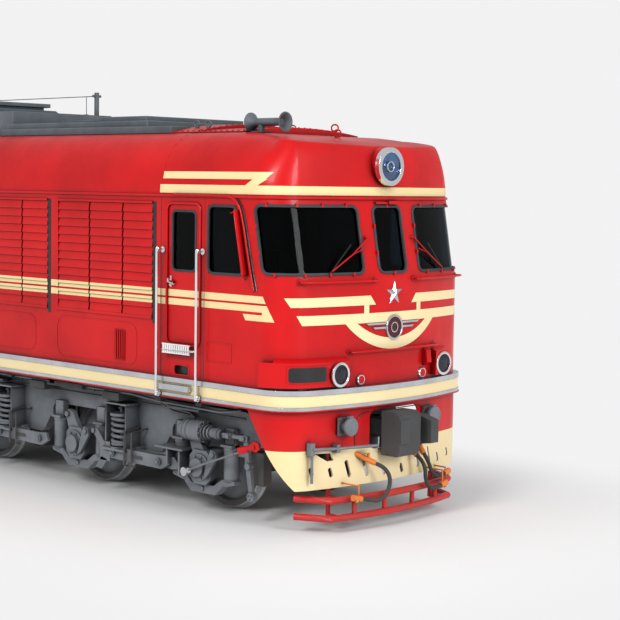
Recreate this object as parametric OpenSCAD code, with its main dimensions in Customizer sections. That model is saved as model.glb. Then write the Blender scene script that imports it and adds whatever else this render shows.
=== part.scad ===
// Six-axle double-ended diesel locomotive, full size, in millimetres.
// +X is forward, +Y left, +Z up. The origin lies at mid-length on the centreline, level with the flange tips.
// Heights in this file are measured from the rail's top; above_rail() lifts them by the flange depth.

/* [Body] */
// Half the body length, to the middle of an end face
nose_x = 9270; // [9000:10:9600]
// Width of the body over its side sheets
body_w = 3100; // [2900:10:3200]
// Height of the lower edge of the side sheets
sill_z = 1339; // [1300:1:1380]
// Height of the rain gutter, where the roof begins
gutter_z = 3658; // [3620:1:3750]
// Height of the flat top of the roof
roof_z = 4368; // [4300:1:4450]
// Half the width of the flat top of the roof
roof_flat = 1000; // [950:10:1050]
// Thickness of the side walls, the cab walls and the roof
wall = 60; // [50:1:80]
// Radius of the bow of an end face in plan
bow_r = 5050; // [4500:10:7000]
// Radius of the body corners in plan
corner_r = 430; // [380:5:480]
// Height above which the end face leans back
crease_z = 2740; // [2700:5:2780]
// How far the end face leans back for each millimetre of height
rake = 0.185; // [0.15:0.005:0.22]
// Distance from mid-length to the joint between a cab and the engine room
cab_joint_x = 7060; // [7040:5:7080]

/* [Running gear] */
// Wheel diameter on the tread
wheel_d = 1050; // [1020:5:1080]
// Depth of the wheel flanges
flange = 28; // [25:1:32]
// Distance between the backs of the two wheels of an axle
back_to_back = 1440; // [1437:1:1443]
// Width of a tyre
tyre_w = 140; // [130:1:145]
// Distance between neighbouring axles of a bogie
axle_pitch = 2300; // [2280:5:2320]
// Distance between the two bogie pivots
pivot_base = 10400; // [10350:10:10450]
// Diameter of an axle
axle_d = 200; // [180:5:215]
// Diameter of an axle journal inside its box
journal_d = 160; // [140:5:170]
// Distance from the centreline to the middle of a bogie side frame
frame_y = 1110; // [1100:5:1130]
// Thickness of a bogie side frame
frame_t = 120; // [100:5:130]

/* [Doors and windows] */
// Distance from mid-length to the rear edge of a door
door_x0 = 7190; // [7180:5:7200]
// Width of a door
door_w = 523; // [510:1:530]
// Height of the lower edge of a door
door_z0 = 1966; // [1960:1:1980]
// Height of the upper edge of a door
door_z1 = 3539; // [3500:1:3560]
// Thickness of a door
door_t = 45; // [40:1:50]
// Gap round a door
door_gap = 8; // [7:0.5:10]
// Thickness of the glass
glass_t = 10; // [8:1:14]

/* [Ends] */
// Height of the coupler axis
coupler_z = 1060; // [1040:5:1080]
// Half the length over the couplers
coupler_x = 9625; // [9600:5:9680]
// Height of the lower edge of the pilot
pilot_z0 = 470; // [440:5:520]
// Height where the pilot meets the red apron
pilot_z1 = 905; // [880:5:930]
// Diameter of the guard pipes
guard_d = 80; // [70:1:90]
// Outer diameter of the brake hoses
hose_d = 46; // [40:1:50]

/* [Hidden] */

half_w = body_w / 2;
roof_side_in = half_w - roof_flat;
roof_nose_in = 110;
roof_drop = 136;
roof_drop_x = nose_x - 1370;
roof_drop_len = 1093;
seat_gap = 0.3;
wheel_r = wheel_d / 2;
pivot_x = pivot_base / 2;
axle_z = wheel_r;
tyre_y0 = back_to_back / 2;
tyre_y1 = tyre_y0 + tyre_w;

RED = "firebrick";
CREAM = "khaki";
SILVER = "silver";
GREY = "slategray";
DARK = "dimgray";

// ---- placing ----
module above_rail() translate([0, 0, flange]) children();
module both_ends() { children(); rotate([0, 0, 180]) children(); }
module both_sides() { children(); mirror([0, 1, 0]) children(); }
module along_x(x0, x1, y, z, r) translate([x0, y, z]) rotate([0, 90, 0]) cylinder(r = r, h = x1 - x0, $fn = 48);
module along_y(x, y0, y1, z, r) translate([x, y1, z]) rotate([90, 0, 0]) cylinder(r = r, h = y1 - y0, $fn = 48);
module upright(x, y, z0, z1, r) translate([x, y, z0]) cylinder(r = r, h = z1 - z0, $fn = 48);
module block(x0, x1, y0, y1, z0, z1) translate([x0, y0, z0]) cube([x1 - x0, y1 - y0, z1 - z0]);
// A round bar between two points
module bar(a, b, r) {
    d = b - a;
    len = norm(d);
    translate(a) rotate([0, acos(d[2] / len), atan2(d[1], d[0])]) cylinder(r = r, h = len, $fn = 32);
}
// A rectangle with rounded corners, as a flat shape
module rounded(x0, x1, y0, y1, r) {
    translate([x0 + r, y0]) square([x1 - x0 - 2 * r, y1 - y0]);
    translate([x0, y0 + r]) square([x1 - x0, y1 - y0 - 2 * r]);
    for (x = [x0 + r, x1 - r]) for (y = [y0 + r, y1 - r]) translate([x, y]) circle(r = r, $fn = 48);
}
// A flat shape drawn in X and Z, standing between two values of Y
module plate_y(y0, y1) translate([0, y1, 0]) rotate([90, 0, 0]) linear_extrude(y1 - y0) children();
// A flat shape drawn in Y and Z, standing between two values of X
module plate_x(x0, x1) translate([x0, 0, 0]) rotate([90, 0, 90]) linear_extrude(x1 - x0) children();

// ---- the body's plan and roof, as functions ----
function nose_at(z) = z <= crease_z ? nose_x : nose_x - rake * (z - crease_z);
corner_cy = half_w - corner_r;
corner_dx = sqrt(pow(bow_r - corner_r, 2) - pow(corner_cy, 2));
corner_a = atan2(corner_cy, corner_dx);
corner_steps = 10;
bow_steps = 12;
// Angles of the outward normals, from the left side round the nose to the right side
plan_angles = concat(
    [for (i = [0:corner_steps]) 90 + (corner_a - 90) * i / corner_steps],
    [for (i = [1:bow_steps - 1]) corner_a * (1 - 2 * i / bow_steps)],
    [for (i = [0:corner_steps]) -corner_a + (corner_a - 90) * i / corner_steps]);
// The plan's point for one normal, moved outwards by grow, for a nose at xn
function plan_point(xn, a, grow) = abs(a) < corner_a
    ? [xn - bow_r + (bow_r + grow) * cos(a), (bow_r + grow) * sin(a)]
    : [xn - bow_r + corner_dx + (corner_r + grow) * cos(a), sign(a) * corner_cy + (corner_r + grow) * sin(a)];
function end_plan(xn, grow, back_x) = concat([[back_x, half_w + grow]],
    [for (a = plan_angles) plan_point(xn, a, grow)], [[back_x, -half_w - grow]]);
// Where the end face of a plan with its nose at xn lies, at a distance y from the centreline
function face_x(xn, y) = let (a = abs(y)) a < bow_r * sin(corner_a)
    ? xn - bow_r + sqrt(bow_r * bow_r - a * a)
    : xn - bow_r + corner_dx + sqrt(corner_r * corner_r - pow(a - corner_cy, 2));
function turned(points) = [for (p = points) -p];
// The closed outline of the whole body
function whole_plan(xn, grow) = concat([for (a = plan_angles) plan_point(xn, a, grow)],
    turned([for (a = plan_angles) plan_point(xn, a, grow)]));
function roof_top_at(x) = x < roof_drop_x ? roof_z
    : roof_z - roof_drop * pow((x - roof_drop_x) / roof_drop_len, 1.6);

// A solid through rings of points that each have as many points, first ring lowest
module loft(rings) {
    m = len(rings[0]);
    n = len(rings);
    polyhedron(points = [for (r = rings) each r],
        faces = concat([[for (i = [0:m - 1]) i]], [[for (i = [m - 1:-1:0]) (n - 1) * m + i]],
            [for (k = [0:n - 2]) for (i = [0:m - 1]) let (j = (i + 1) % m)
                each [[k * m + i, (k + 1) * m + i, (k + 1) * m + j], [k * m + i, (k + 1) * m + j, k * m + j]]]),
        convexity = 6);
}
// A plan's points at one height, listed anticlockwise from above as loft() needs
function at_height(points, z) = [for (i = [len(points) - 1:-1:0]) [points[i][0], points[i][1], z]];
// The walls' outer form, made smaller by inset, from z0 to z1
module cab_form(inset, back_x, z0, z1) {
    levels = concat([z0], (z0 < crease_z && z1 > crease_z) ? [crease_z] : [], [z1]);
    loft([for (z = levels) at_height(end_plan(nose_at(z), -inset, back_x), z)]);
}
// One ring of the cab roof: t is 0 at the gutter and 90 at the flat top
function dome_ring(inset, back_x, t, steps = 0) =
    let (xn = nose_at(gutter_z),
        sides = [back_x, roof_drop_x, roof_drop_x + 220, roof_drop_x + 440],
        k = len(sides),
        angles = concat([for (x = sides) 90], plan_angles, [for (x = sides) -90]),
        pts = concat([for (x = sides) [x, half_w - inset]],
            [for (a = plan_angles) plan_point(xn, a, -inset)],
            [for (i = [k - 1:-1:0]) [sides[i], -half_w + inset]]))
    [for (i = [0:len(pts) - 1]) let (a = angles[i], nx = abs(a) == 90 ? 0 : cos(a), ny = sin(a),
            inward = (roof_side_in * ny * ny + roof_nose_in * nx * nx) * (1 - cos(t)),
            x = pts[i][0] - inward * nx, y = pts[i][1] - inward * ny)
        [x, y, gutter_z + (roof_top_at(x) - gutter_z - inset) * sin(t)]];
// Faces of a surface through n rings of m points, seen from outside
function skin(first, m, n) = [for (k = [0:n - 2]) for (i = [0:m - 2]) let (a = first + k * m + i)
    each [[a, a + m + 1, a + m], [a, a + 1, a + m + 1]]];
// Faces of the flat top, in strips between the left and the right half of the last ring
function top_strips(first, m) = let (half = floor(m / 2)) concat(
    [for (i = [0:half - 2]) each [[first + i, first + i + 1, first + m - 1 - i],
        [first + i + 1, first + m - 2 - i, first + m - 1 - i]]],
    [[first + half - 1, first + half, first + half + 1]]);
function flipped(faces) = [for (f = faces) [f[0], f[2], f[1]]];
dome_turns = [for (k = [0:8]) k * 90 / 8];
// The cab roof as a solid block, to cut other pieces with
module dome_form() {
    rings = [for (t = dome_turns) dome_ring(0, cab_joint_x, t)];
    m = len(rings[0]);
    n = len(rings);
    polyhedron(points = [for (r = rings) each r], convexity = 4,
        faces = concat(skin(0, m, n), top_strips((n - 1) * m, m), [[for (i = [m - 1:-1:0]) i]],
            [concat([for (k = [0:n - 1]) k * m], [for (k = [n - 1:-1:0]) k * m + m - 1])]));
}
// The cab roof as a shell: an outer and an inner skin, joined by a rim at the gutter and at the joint
module dome_shell() {
    outer = [for (t = dome_turns) dome_ring(0, cab_joint_x, t)];
    inner = [for (t = dome_turns) dome_ring(wall, cab_joint_x, t)];
    m = len(outer[0]);
    n = len(outer);
    c = m * n;
    rim = [for (i = [0:m - 2]) each [[i, c + i, c + i + 1], [i, c + i + 1, i + 1]]];
    back_left = [for (k = [0:n - 2]) let (a = k * m, b = a + m) each [[a, b, c + b], [a, c + b, c + a]]];
    back_right = [for (k = [0:n - 2]) let (a = k * m + m - 1, b = a + m) each [[a, c + b, b], [a, c + a, c + b]]];
    t0 = (n - 1) * m;
    t1 = t0 + m - 1;
    polyhedron(points = concat([for (r = outer) each r], [for (r = inner) each r]), convexity = 6,
        faces = concat(skin(0, m, n), top_strips(t0, m), flipped(skin(c, m, n)), flipped(top_strips(c + t0, m)),
            rim, back_left, back_right, [[t0, t1, c + t1], [t0, c + t1, c + t0]]));
}

// ---- windows and door openings ----
screen_in = 470;
screen_back = 539;
screen_z0 = 2818;
screen_z1 = 3556;
centre_half = 238;
side_window = [[7854, 2788], [8440, 2788], [8294, 3540], [7854, 3540]];
door_x1 = door_x0 + door_w;
// Corner points of a rounded rectangle
function rounded_points(x0, x1, z0, z1, r) = [for (q = [0:3]) for (i = [0:8]) let (a = 90 * q + 90 * i / 8)
    [(q == 0 || q == 3 ? x1 - r : x0 + r) + r * cos(a), (q < 2 ? z1 - r : z0 + r) + r * sin(a)]];
// The outer windscreens wrap round the corners, and their outer edge leans with the face
module screen_cut(grow = 0) {
    for (s = [0, 1]) mirror([0, s, 0]) intersection() {
        plate_x(8400, 9400) rounded(screen_in - grow, 1900, screen_z0 - grow, screen_z1 + grow, 80);
        plate_y(screen_in - 20, half_w + 20) polygon([for (p = rounded_points(nose_at(screen_z0) - screen_back - grow,
            9800, screen_z0 - grow, screen_z1 + grow, 80)) [p[0] - rake * (p[1] - screen_z0), p[1]]]);
    }
    plate_x(8450, 9400) rounded(-centre_half - grow, centre_half + grow, screen_z0 - grow, screen_z1 + grow, 80);
}
module side_window_shape() polygon(side_window);
module door_shape(grow = 0)
    rounded(door_x0 - grow, door_x1 + grow, door_z0 - grow, door_z1 + grow, 60 + grow);
door_window = [door_x0 + 62, door_x1 - 63, 2793, 3471];
module door_window_shape(grow = 0)
    rounded(door_window[0] - grow, door_window[1] + grow, door_window[2] - grow, door_window[3] + grow, 45);
// Door hinges: knuckles on the leaf's inner front edge, each on a ledge of the cab wall
hinge_y = half_w - 5 - door_t;
hinge_z = [2200, 3150];
knuckle_r = 9;
module hinge_notches() for (z = hinge_z) block(door_x1 - 1, door_x1 + 22, hinge_y - 20, hinge_y + 15, z - 5, z + 65);
module hinge_ledges() for (z = hinge_z) block(door_x1 + 6, door_x1 + 32, hinge_y - 30, hinge_y + 5, z - 10, z - 0.3);
// Lamp places on an end face
lamp_y = 893;
lamp_z = 1729;
lamp_r = 135;
marker_y = 533;
marker_z = 1645;
marker_r = 60;

// ---- underframe ----
deck_z = 1480;
cab_floor_z = 1950;
draft_x0 = 8560;
draft_x1 = 8960;
coupler_pin_x = 8700;
coupler_pin_r = 40;
shank_half = 70;
shank_z = 90;
bolster_z0 = 1240;
pin_r = 140;
module underframe() color(DARK) above_rail() {
    union() {
        union() {
            // deck between the side sheets, with side sills and two centre sills
            block(-cab_joint_x - 1500, cab_joint_x + 1500, -half_w + wall, half_w - wall, deck_z - 60, deck_z);
            both_sides() block(-8450, 8450, half_w - wall - 80, half_w - wall, sill_z, deck_z - 60);
            both_sides() block(-8800, 8800, 300, 400, bolster_z0, deck_z - 60);
            both_ends() {
                block(pivot_x - 350, pivot_x + 350, -half_w + wall, half_w - wall, bolster_z0, deck_z - 60);
                // draft-gear box behind the coupler
                difference() {
                    block(draft_x0, draft_x1, -250, 250, coupler_z - 160, deck_z - 60);
                    block(draft_x0 + 40, draft_x1 + 10, -150, 150, coupler_z - shank_z - seat_gap, coupler_z + 110);
                }
                upright(coupler_pin_x, 0, coupler_z - shank_z - 5, coupler_z + 115, coupler_pin_r);
                upright(pivot_x, 0, 1060, bolster_z0, pin_r);
                // headstock behind the apron
                block(8900, 9040, -1100, 1100, 1300, deck_z + 60);
                block(8500, 8900, -1000, 1000, deck_z - 60, deck_z);
            }
        }
    }
}

// ---- cabs ----
module cab_shell() {
    above_rail() difference() {
        cab_form(0, cab_joint_x, sill_z, gutter_z);
        cab_form(wall, cab_joint_x - 10, sill_z - 10, gutter_z + 10);
        screen_cut();
        both_sides() {
            plate_y(half_w - wall - 20, half_w + 20) side_window_shape();
            plate_y(half_w - wall - 20, half_w + 20) door_shape(door_gap);
            plate_y(half_w - wall - 20, half_w + 20) step_recess_shape();
            along_x(9000, 9400, lamp_y, lamp_z, lamp_r - 25);
            along_x(9000, 9400, marker_y, marker_z, marker_r - 15);
            hinge_notches();
        }
    }
    above_rail() both_sides() hinge_ledges();
}
module step_recess_shape() {
    rounded(7300, 7560, 1598, 1724, 20);
}
module front_cab() color(RED) cab_shell();
module rear_cab() color(RED) rotate([0, 0, 180]) cab_shell();

headlight_z = 4001;
headlight_x = 9150;
headlight_r = 215;
module cab_roofs() color(RED) above_rail() both_ends() dome_shell();

module cab_glass() color("lightblue") above_rail() both_ends() {
    intersection() {
        difference() {
            cab_form(24, 8480, 2700, 3650);
            cab_form(24 + glass_t, 8380, 2690, 3655);
        }
        screen_cut(-0.2);
    }
    both_sides() plate_y(half_w - 24 - glass_t, half_w - 24) side_window_shape();
}

// ---- engine room ----
louvre_z0 = 2208;
louvre_z1 = 3571;
panels = [[5131, 6917], [3155, 4942]];
room_windows = [600, 1800];
window_w = 620;
window_z0 = 2780;
window_z1 = 3330;
module louvre_openings(grow = 0) for (p = panels) for (s = [-1, 1])
    translate([s > 0 ? 0 : -p[0] - p[1], 0])
        rounded(p[0] - grow, p[1] + grow, louvre_z0 - grow, louvre_z1 + grow, 20);
module room_window_shapes() for (x = room_windows) for (s = [-1, 1])
    rounded(s * x - window_w / 2, s * x + window_w / 2, window_z0, window_z1, 60);
module side_wall_sheet() above_rail() difference() {
    block(-cab_joint_x, cab_joint_x, half_w - wall, half_w, sill_z, gutter_z);
    plate_y(half_w - wall - 5, half_w + 5) louvre_openings();
    plate_y(half_w - wall - 5, half_w + 5) room_window_shapes();
}
module left_side_wall() color(RED) side_wall_sheet();
module right_side_wall() color(RED) mirror([0, 1, 0]) side_wall_sheet();

shoulder_steps = 10;
function arch(inset) = concat(
    [for (i = [0:shoulder_steps]) let (t = 90 * i / shoulder_steps)
        [half_w - inset - roof_side_in * (1 - cos(t)), gutter_z + (roof_z - gutter_z - inset) * sin(t)]],
    [for (i = [shoulder_steps:-1:0]) let (t = 90 * i / shoulder_steps)
        [-(half_w - inset - roof_side_in * (1 - cos(t))), gutter_z + (roof_z - gutter_z - inset) * sin(t)]]);
module roof() color(RED) above_rail() difference() {
    plate_x(-cab_joint_x, cab_joint_x) polygon(arch(0));
    translate([0, 0, -0.01]) plate_x(-cab_joint_x - 5, cab_joint_x + 5) polygon(arch(wall));
}

slat_pitch = 100;
slat_t = 8;
frame_w = 34;
module slat(x0, x1, z) plate_y_at(x0, x1, z);
module plate_y_at(x0, x1, z) translate([x0, 0, z]) rotate([90, 0, 90]) linear_extrude(x1 - x0)
    polygon([[half_w - 50, 46], [half_w - 50 + slat_t, 50], [half_w + 12, 6], [half_w + 12, 0], [half_w + 4, 0]]);
module louvre_panel(x0, x1, dividers) {
    difference() {
        plate_y(half_w - wall, half_w + 14) rounded(x0, x1, louvre_z0, louvre_z1, 20);
        edges = concat([x0], dividers, [x1]);
        for (i = [0:len(edges) - 2])
            block(edges[i] + frame_w, edges[i + 1] - frame_w, half_w - wall - 5, half_w + 20,
                louvre_z0 + frame_w, louvre_z1 - frame_w);
    }
    for (z = [louvre_z0 + frame_w + 4:slat_pitch:louvre_z1 - frame_w - 54])
        plate_y_at(x0 + frame_w / 2, x1 - frame_w / 2, z);
    // closed back that keeps rain out
    block(x0 + 10, x1 - 10, half_w - wall, half_w - wall + 8, louvre_z0 + 10, louvre_z1 - 10);
}
module louvres() color(RED) above_rail() both_sides() {
    for (s = [0, 1]) mirror([s, 0, 0]) {
        louvre_panel(5131, 6917, [5768, 6386]);
        louvre_panel(3155, 4942, [3790, 4421]);
    }
    for (x = room_windows) for (s = [-1, 1])
        plate_y(half_w - 24 - glass_t, half_w - 24)
            rounded(s * x - window_w / 2, s * x + window_w / 2, window_z0, window_z1, 60);
}

// ---- trims that run round the body ----
module band(z0, z1, grow) translate([0, 0, z0]) linear_extrude(z1 - z0) difference() {
    polygon(whole_plan(nose_x + belt_front_more, grow));
    polygon(whole_plan(nose_x, 0));
}
belt_grow = 40;
belt_front_more = 25;
module belt() color(CREAM) above_rail() {
    band(1388, 1515, belt_grow);
    band(1352, 1388, belt_grow + 8);
    band(1515, 1571, belt_grow + 8);
    band(sill_z, 1352, belt_grow + 16);
}
gutter_t = 18;
module gutter() color(RED) above_rail() translate([0, 0, gutter_z - 30]) linear_extrude(30) difference() {
    polygon(whole_plan(nose_at(gutter_z - 30), gutter_t));
    polygon(whole_plan(nose_at(gutter_z - 30), 0));
}

// ---- roof equipment ----
strip_x1 = 6600;
module roof_hatches() color(GREY) above_rail() {
    // long stepped strips over the engine room
    both_ends() {
        block(3200, strip_x1, -1000, 1000, roof_z, roof_z + 90);
        block(3200, 6050, -900, 900, roof_z + 90, roof_z + 168);
        block(3980, 5000, -600, 600, roof_z + 168, roof_z + 205);
        block(5050, 5950, -830, 830, roof_z + 168, roof_z + 228);
    }
    block(-3250, 3250, -850, 850, roof_z, roof_z + 345);
    // cowls over the cooling fans, in two tiers on a narrower neck
    both_ends() {
        block(650, 2150, -500, 500, roof_z + 345, roof_z + 470);
        plate_x(600, 2300) polygon([[-680, roof_z + 375], [680, roof_z + 375], [600, roof_z + 425], [-600, roof_z + 425]]);
        block(600, 2200, -580, 580, roof_z + 470, roof_z + 525);
    }
}
// Arched red hatches where the roof meets each cab
function hatch_arch(half, crown) = [for (i = [-10:10]) let (y = half * i / 10)
    [y, roof_z + 18 + (crown - 18) * (1 - pow(i / 10, 2))]];
module cab_hatches() color(RED) above_rail() both_ends() {
    plate_x(strip_x1 + 0.3, 7062) polygon(concat([[1000, roof_z + 0.3], [-1000, roof_z + 0.3]], hatch_arch(1000, 135)));
    plate_x(7062, 7800) polygon(concat([[985, roof_z + 0.3], [-985, roof_z + 0.3]], hatch_arch(985, 85)));
}

horn_x = 7980;
horn_y = 860;
horn_axis = 116;
module horns() color(GREY) above_rail() both_ends() translate([horn_x, -horn_y, roof_z + 0.3]) {
    translate([-90, -80, 0]) cube([180, 160, 14]);
    upright(0, 0, 14, horn_axis, 38);
    // body with a forward bell and a rearward bell
    along_x(-70, 280, 0, horn_axis, 46);
    translate([280, 0, horn_axis]) rotate([0, 90, 0]) rotate_extrude($fn = 64)
        polygon([[0, 0], [46, 0], [60, 40], [84, 72], [112, 96], [112, 102], [98, 102], [70, 76], [38, 40], [0, 40]]);
    translate([-70, 0, horn_axis]) rotate([0, -90, 0]) rotate_extrude($fn = 64)
        polygon([[0, 0], [46, 0], [60, 40], [84, 72], [112, 96], [112, 102], [98, 102], [70, 76], [38, 40], [0, 40]]);
}

mast_x = 3100;
mast_y = 700;
module antenna() color(GREY) above_rail() {
    for (s = [0, 1]) mirror([s, 0, 0]) {
        upright(mast_x, mast_y, roof_z + 345, roof_z + 670, 34);
        along_y(mast_x, mast_y - 70, mast_y + 70, roof_z + 620, 18);
        upright(mast_x - 230, mast_y, roof_z + 345, roof_z + 370, 30);
        upright(mast_x - 230, mast_y, roof_z + 370, roof_z + 616, 5);
    }
    along_x(-mast_x, mast_x, mast_y, roof_z + 620, 6);
}

// ---- lamps ----
module headlights() color(SILVER) above_rail() both_ends() {
    difference() {
        translate([8700, 0, headlight_z + 20]) rotate([0, 90 + 1.5, 0])
            cylinder(r1 = 190, r2 = headlight_r - 12, h = headlight_x - 8700, $fn = 48);
        dome_form();
        block(headlight_x, headlight_x + 50, -300, 300, headlight_z - 300, headlight_z + 300);
    }
    difference() {
        along_x(headlight_x, headlight_x + 45, 0, headlight_z, headlight_r);
        along_x(headlight_x + 5, headlight_x + 46, 0, headlight_z, 160);
    }
}
lamp_box_grow = 75;
lamp_box_z = [1600, 1872];
module lamp_boxes() translate([0, 0, lamp_box_z[0]]) linear_extrude(lamp_box_z[1] - lamp_box_z[0]) intersection() {
    difference() {
        polygon(end_plan(nose_x, lamp_box_grow, 8000));
        polygon(end_plan(nose_x, 0, 7990));
    }
    union() {
        translate([8735, -1748]) square([800, 1000]);
        translate([8735, 748]) square([800, 292]);
    }
}
lamp_face = nose_x - lamp_y * lamp_y / 2 / bow_r;
marker_face = nose_x - marker_y * marker_y / 2 / bow_r;
module buffer_lights() color(RED) above_rail() both_ends() {
    difference() {
        lamp_boxes();
        both_sides() along_x(9000, 9400, lamp_y, lamp_z, lamp_r - 25);
    }
    both_sides() {
        along_x(lamp_face - 70, lamp_face + 80, lamp_y, lamp_z, lamp_r - 26);
        difference() {
            along_x(lamp_face + 80, lamp_face + 103, lamp_y, lamp_z, lamp_r);
            along_x(lamp_face + 79, lamp_face + 104, lamp_y, lamp_z, lamp_r - 26);
        }
        along_x(marker_face - 60, marker_face + 30, marker_y, marker_z, marker_r - 16);
    }
}

// ---- the ends below the belt ----
apron_x = 9285;
apron_t = 20;
// Everything in front of a line that leans forward going down
module side_cut() plate_y(-2000, 2000) polygon([[8480, sill_z + 20], [9100, 420], [7000, 420], [7000, sill_z + 20]]);
module end_plate(z0, z1, grow) difference() {
    translate([0, 0, z0]) linear_extrude(z1 - z0) difference() {
        polygon(end_plan(apron_x, grow, 8000));
        polygon(end_plan(apron_x, grow - apron_t, 7990));
    }
    side_cut();
    // room for the coupler
    plate_x(8800, 9500) rounded(-385, 455, 850, 1290, 90);
}
module aprons() color(RED) above_rail() both_ends() difference() {
    end_plate(pilot_z1, sill_z, 0);
}
// Slots in the pilot: sideways place, height of the middle, half the length
pilot_slots = [[-1190, 672, 52], [-938, 645, 56], [-698, 665, 102], [-445, 670, 124], [-145, 590, 55],
    [165, 580, 58], [445, 670, 124], [698, 665, 102], [905, 610, 56], [1140, 640, 52]];
module pilots() color(CREAM) above_rail() both_ends() difference() {
    end_plate(pilot_z0, pilot_z1, 0);
    for (p = pilot_slots) translate([8800, p[0], p[1]]) rotate([18, 0, 0])
        plate_x(0, 700) rounded(-26, 26, -p[2], p[2], 25.5);
    plate_x(8800, 9400) polygon([[-1150, 868], [-935, 860], [-900, 776], [-985, 772]]);
}

guard_r = guard_d / 2;
guard_bow = 4520;
guard_front = 9400;
guard_half = 13;
guard_steps = 6;
guard_end = [8905, 1200];
// A bowed pipe whose two ends turn back towards the wheels
function guard_route(z) = let (c = guard_front - guard_bow) concat(
    [[guard_end[0], -guard_end[1], z], [9090, -1110, z]],
    [for (i = [-guard_steps:guard_steps]) let (a = guard_half * i / guard_steps)
        [c + guard_bow * cos(a), guard_bow * sin(a), z]],
    [[9090, 1110, z], [guard_end[0], guard_end[1], z]]);
module guard_pipe(z) tube(guard_route(z), guard_r, 12);
module guard_pipes() color(RED) above_rail() both_ends() {
    guard_pipe(350);
    guard_pipe(150);
    both_sides() {
        upright(9384, 240, 150, 350, 28);
        upright(9341, 700, 150, 350, 28);
        // hangers behind the pilot, up to the floor
        for (z = [150, 350]) block(9100, 9310, 870, 905, z - 25, z + 25);
        block(9100, 9140, 870, 905, 125, 1299.7);
        block(8960, 9140, 830, 945, 1270, 1299.7);
    }
}

// ---- grab rails and steps ----
rail_y = half_w + 100;
module handrails() color(SILVER) above_rail() both_ends() both_sides() for (x = [door_x0 - 83, door_x1 + 65]) {
    upright(x, rail_y, 1350, 3045, 17);
    for (z = [1370, 3025]) along_y(x, half_w + (z < 2000 ? belt_grow + 16.2 : 0.2), rail_y, z, 15);
}
module steps() color(DARK) above_rail() both_ends() both_sides() {
    block(7325, 7535, half_w - wall + 2, half_w - 4, 1598.3, 1606);
    block(7187, 7659, half_w + 0.3, half_w + 90, 1880, 1895);
    block(7154, 7643, half_w + belt_grow + 0.3, half_w + belt_grow + 60, 1430, 1496);
}

// ---- between the bogies ----
module fuel_tank() color(DARK) above_rail() {
    plate_x(-1450, 1450) polygon([[-1300, 1235], [-1400, 1100], [-1400, 620], [-1150, 330], [1150, 330],
        [1400, 620], [1400, 1100], [1300, 1235]]);
    both_sides() block(-1450, 1450, 420, 560, 1235, deck_z - 60.2);
}
module air_reservoirs() color(DARK) above_rail() both_ends() both_sides() {
    along_y(1680, 500, 1380, 1130, 150);
    block(1600, 1760, 700, 740, 1270, deck_z - 60.2);
    block(1600, 1760, 1100, 1140, 1270, deck_z - 60.2);
}
module engine() color(GREY) above_rail() {
    block(-2300, 2000, -700, 700, deck_z, 3400);
    block(2050, 3600, -750, 750, deck_z, 2900);
}

// ---- couplings ----
module jumper_sockets() color(GREY) above_rail() both_ends() {
    for (y = [-780, 640]) {
        x = face_x(apron_x, abs(y) - 62) - 0.4;
        along_x(x, x + 90, y, 1150, 62);
        along_x(x + 90, x + 130, y, 1150, 100);
    }
}
module uncoupling_levers() color(GREY) above_rail() both_ends() {
    x = face_x(apron_x, 1205);
    block(x + 0.3, x + 70, -1265, -1205, 860, 1000);
    block(face_x(apron_x, 880) + 0.3, face_x(apron_x, 880) + 75, -930, -880, 870, 960);
    bar([x + 60, -1235, 930], [face_x(apron_x, 880) + 60, -905, 915], 18);
    bar([face_x(apron_x, 880) + 60, -905, 915], [9480, -470, 930], 17);
    upright(x + 55, -1235, 560, 870, 16);
}
module coupler() color(DARK) above_rail() {
    difference() {
        block(coupler_pin_x - 55, 9330, -shank_half, shank_half, coupler_z - shank_z, coupler_z + shank_z);
        upright(coupler_pin_x, 0, coupler_z - 95, coupler_z + 95, coupler_pin_r + 2);
    }
    plate_y(-255, 110) polygon([[9330, 780], [9560, 780], [9600, 850], [9600, 1240], [9540, 1280], [9330, 1280]]);
    plate_y(-255, -100) polygon([[9560, 900], [coupler_x, 930], [coupler_x, 1190], [9560, 1230]]);
    plate_y(110, 400) polygon([[9330, 860], [9430, 860], [9430, 1200], [9330, 1200]]);
    plate_y(270, 400) polygon([[9430, 860], [coupler_x, 890], [coupler_x, 1150], [9430, 1200]]);
}
module front_coupler() coupler();
module rear_coupler() rotate([0, 0, 180]) coupler();

// ---- brake hoses ----
// Routes at the front end, in millimetres above the rail
long_route = [[9400, -424, 715], [9419.8, -405.4, 702.4], [9439.7, -386.7, 689.8],
    [9460.9, -366.5, 672.9], [9479.2, -348.3, 651], [9494.1, -332.6, 625], [9505.1, -320, 595.6],
    [9511.8, -310.9, 563.7], [9514.1, -305.6, 530.4], [9513.8, -305.4, 495], [9513, -311.7, 460.1],
    [9511.7, -324.4, 427.1], [9510, -342.9, 397], [9507.8, -366.7, 370.8], [9505.3, -395, 349.6],
    [9502.6, -426.6, 334], [9499.8, -460.7, 324.5], [9496.9, -495.8, 321.6], [9494, -531, 325.2],
    [9491.2, -566, 332.2], [9488.4, -601, 339.2], [9485.6, -636, 346.3], [9482.8, -671.1, 353.3],
    [9480, -706.1, 360.3], [9477.2, -741.1, 367.3]];
feed_route = [[9396, 300, 722], [9435.9, 304, 692.1], [9461.8, 306.8, 668.6], [9482.9, 309.7, 640.7],
    [9498.6, 312.4, 609.4], [9508.2, 314.9, 575.8], [9511.4, 317.2, 540.9], [9511.4, 319, 510.9],
    [9511.1, 323.8, 478.4], [9510.3, 334.1, 447.1], [9508.9, 349.6, 418.1], [9507.1, 369.9, 392.3],
    [9504.8, 394.3, 370.3], [9502.1, 422.1, 352.9], [9499.1, 452.5, 340.6], [9496, 484.5, 333.7],
    [9492.7, 517.2, 332.5], [9489.2, 552, 334.2], [9485.8, 586.8, 336], [9484.7, 597.2, 336.7],
    [9483.5, 607.6, 338], [9479.9, 637, 342.5]];
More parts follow.
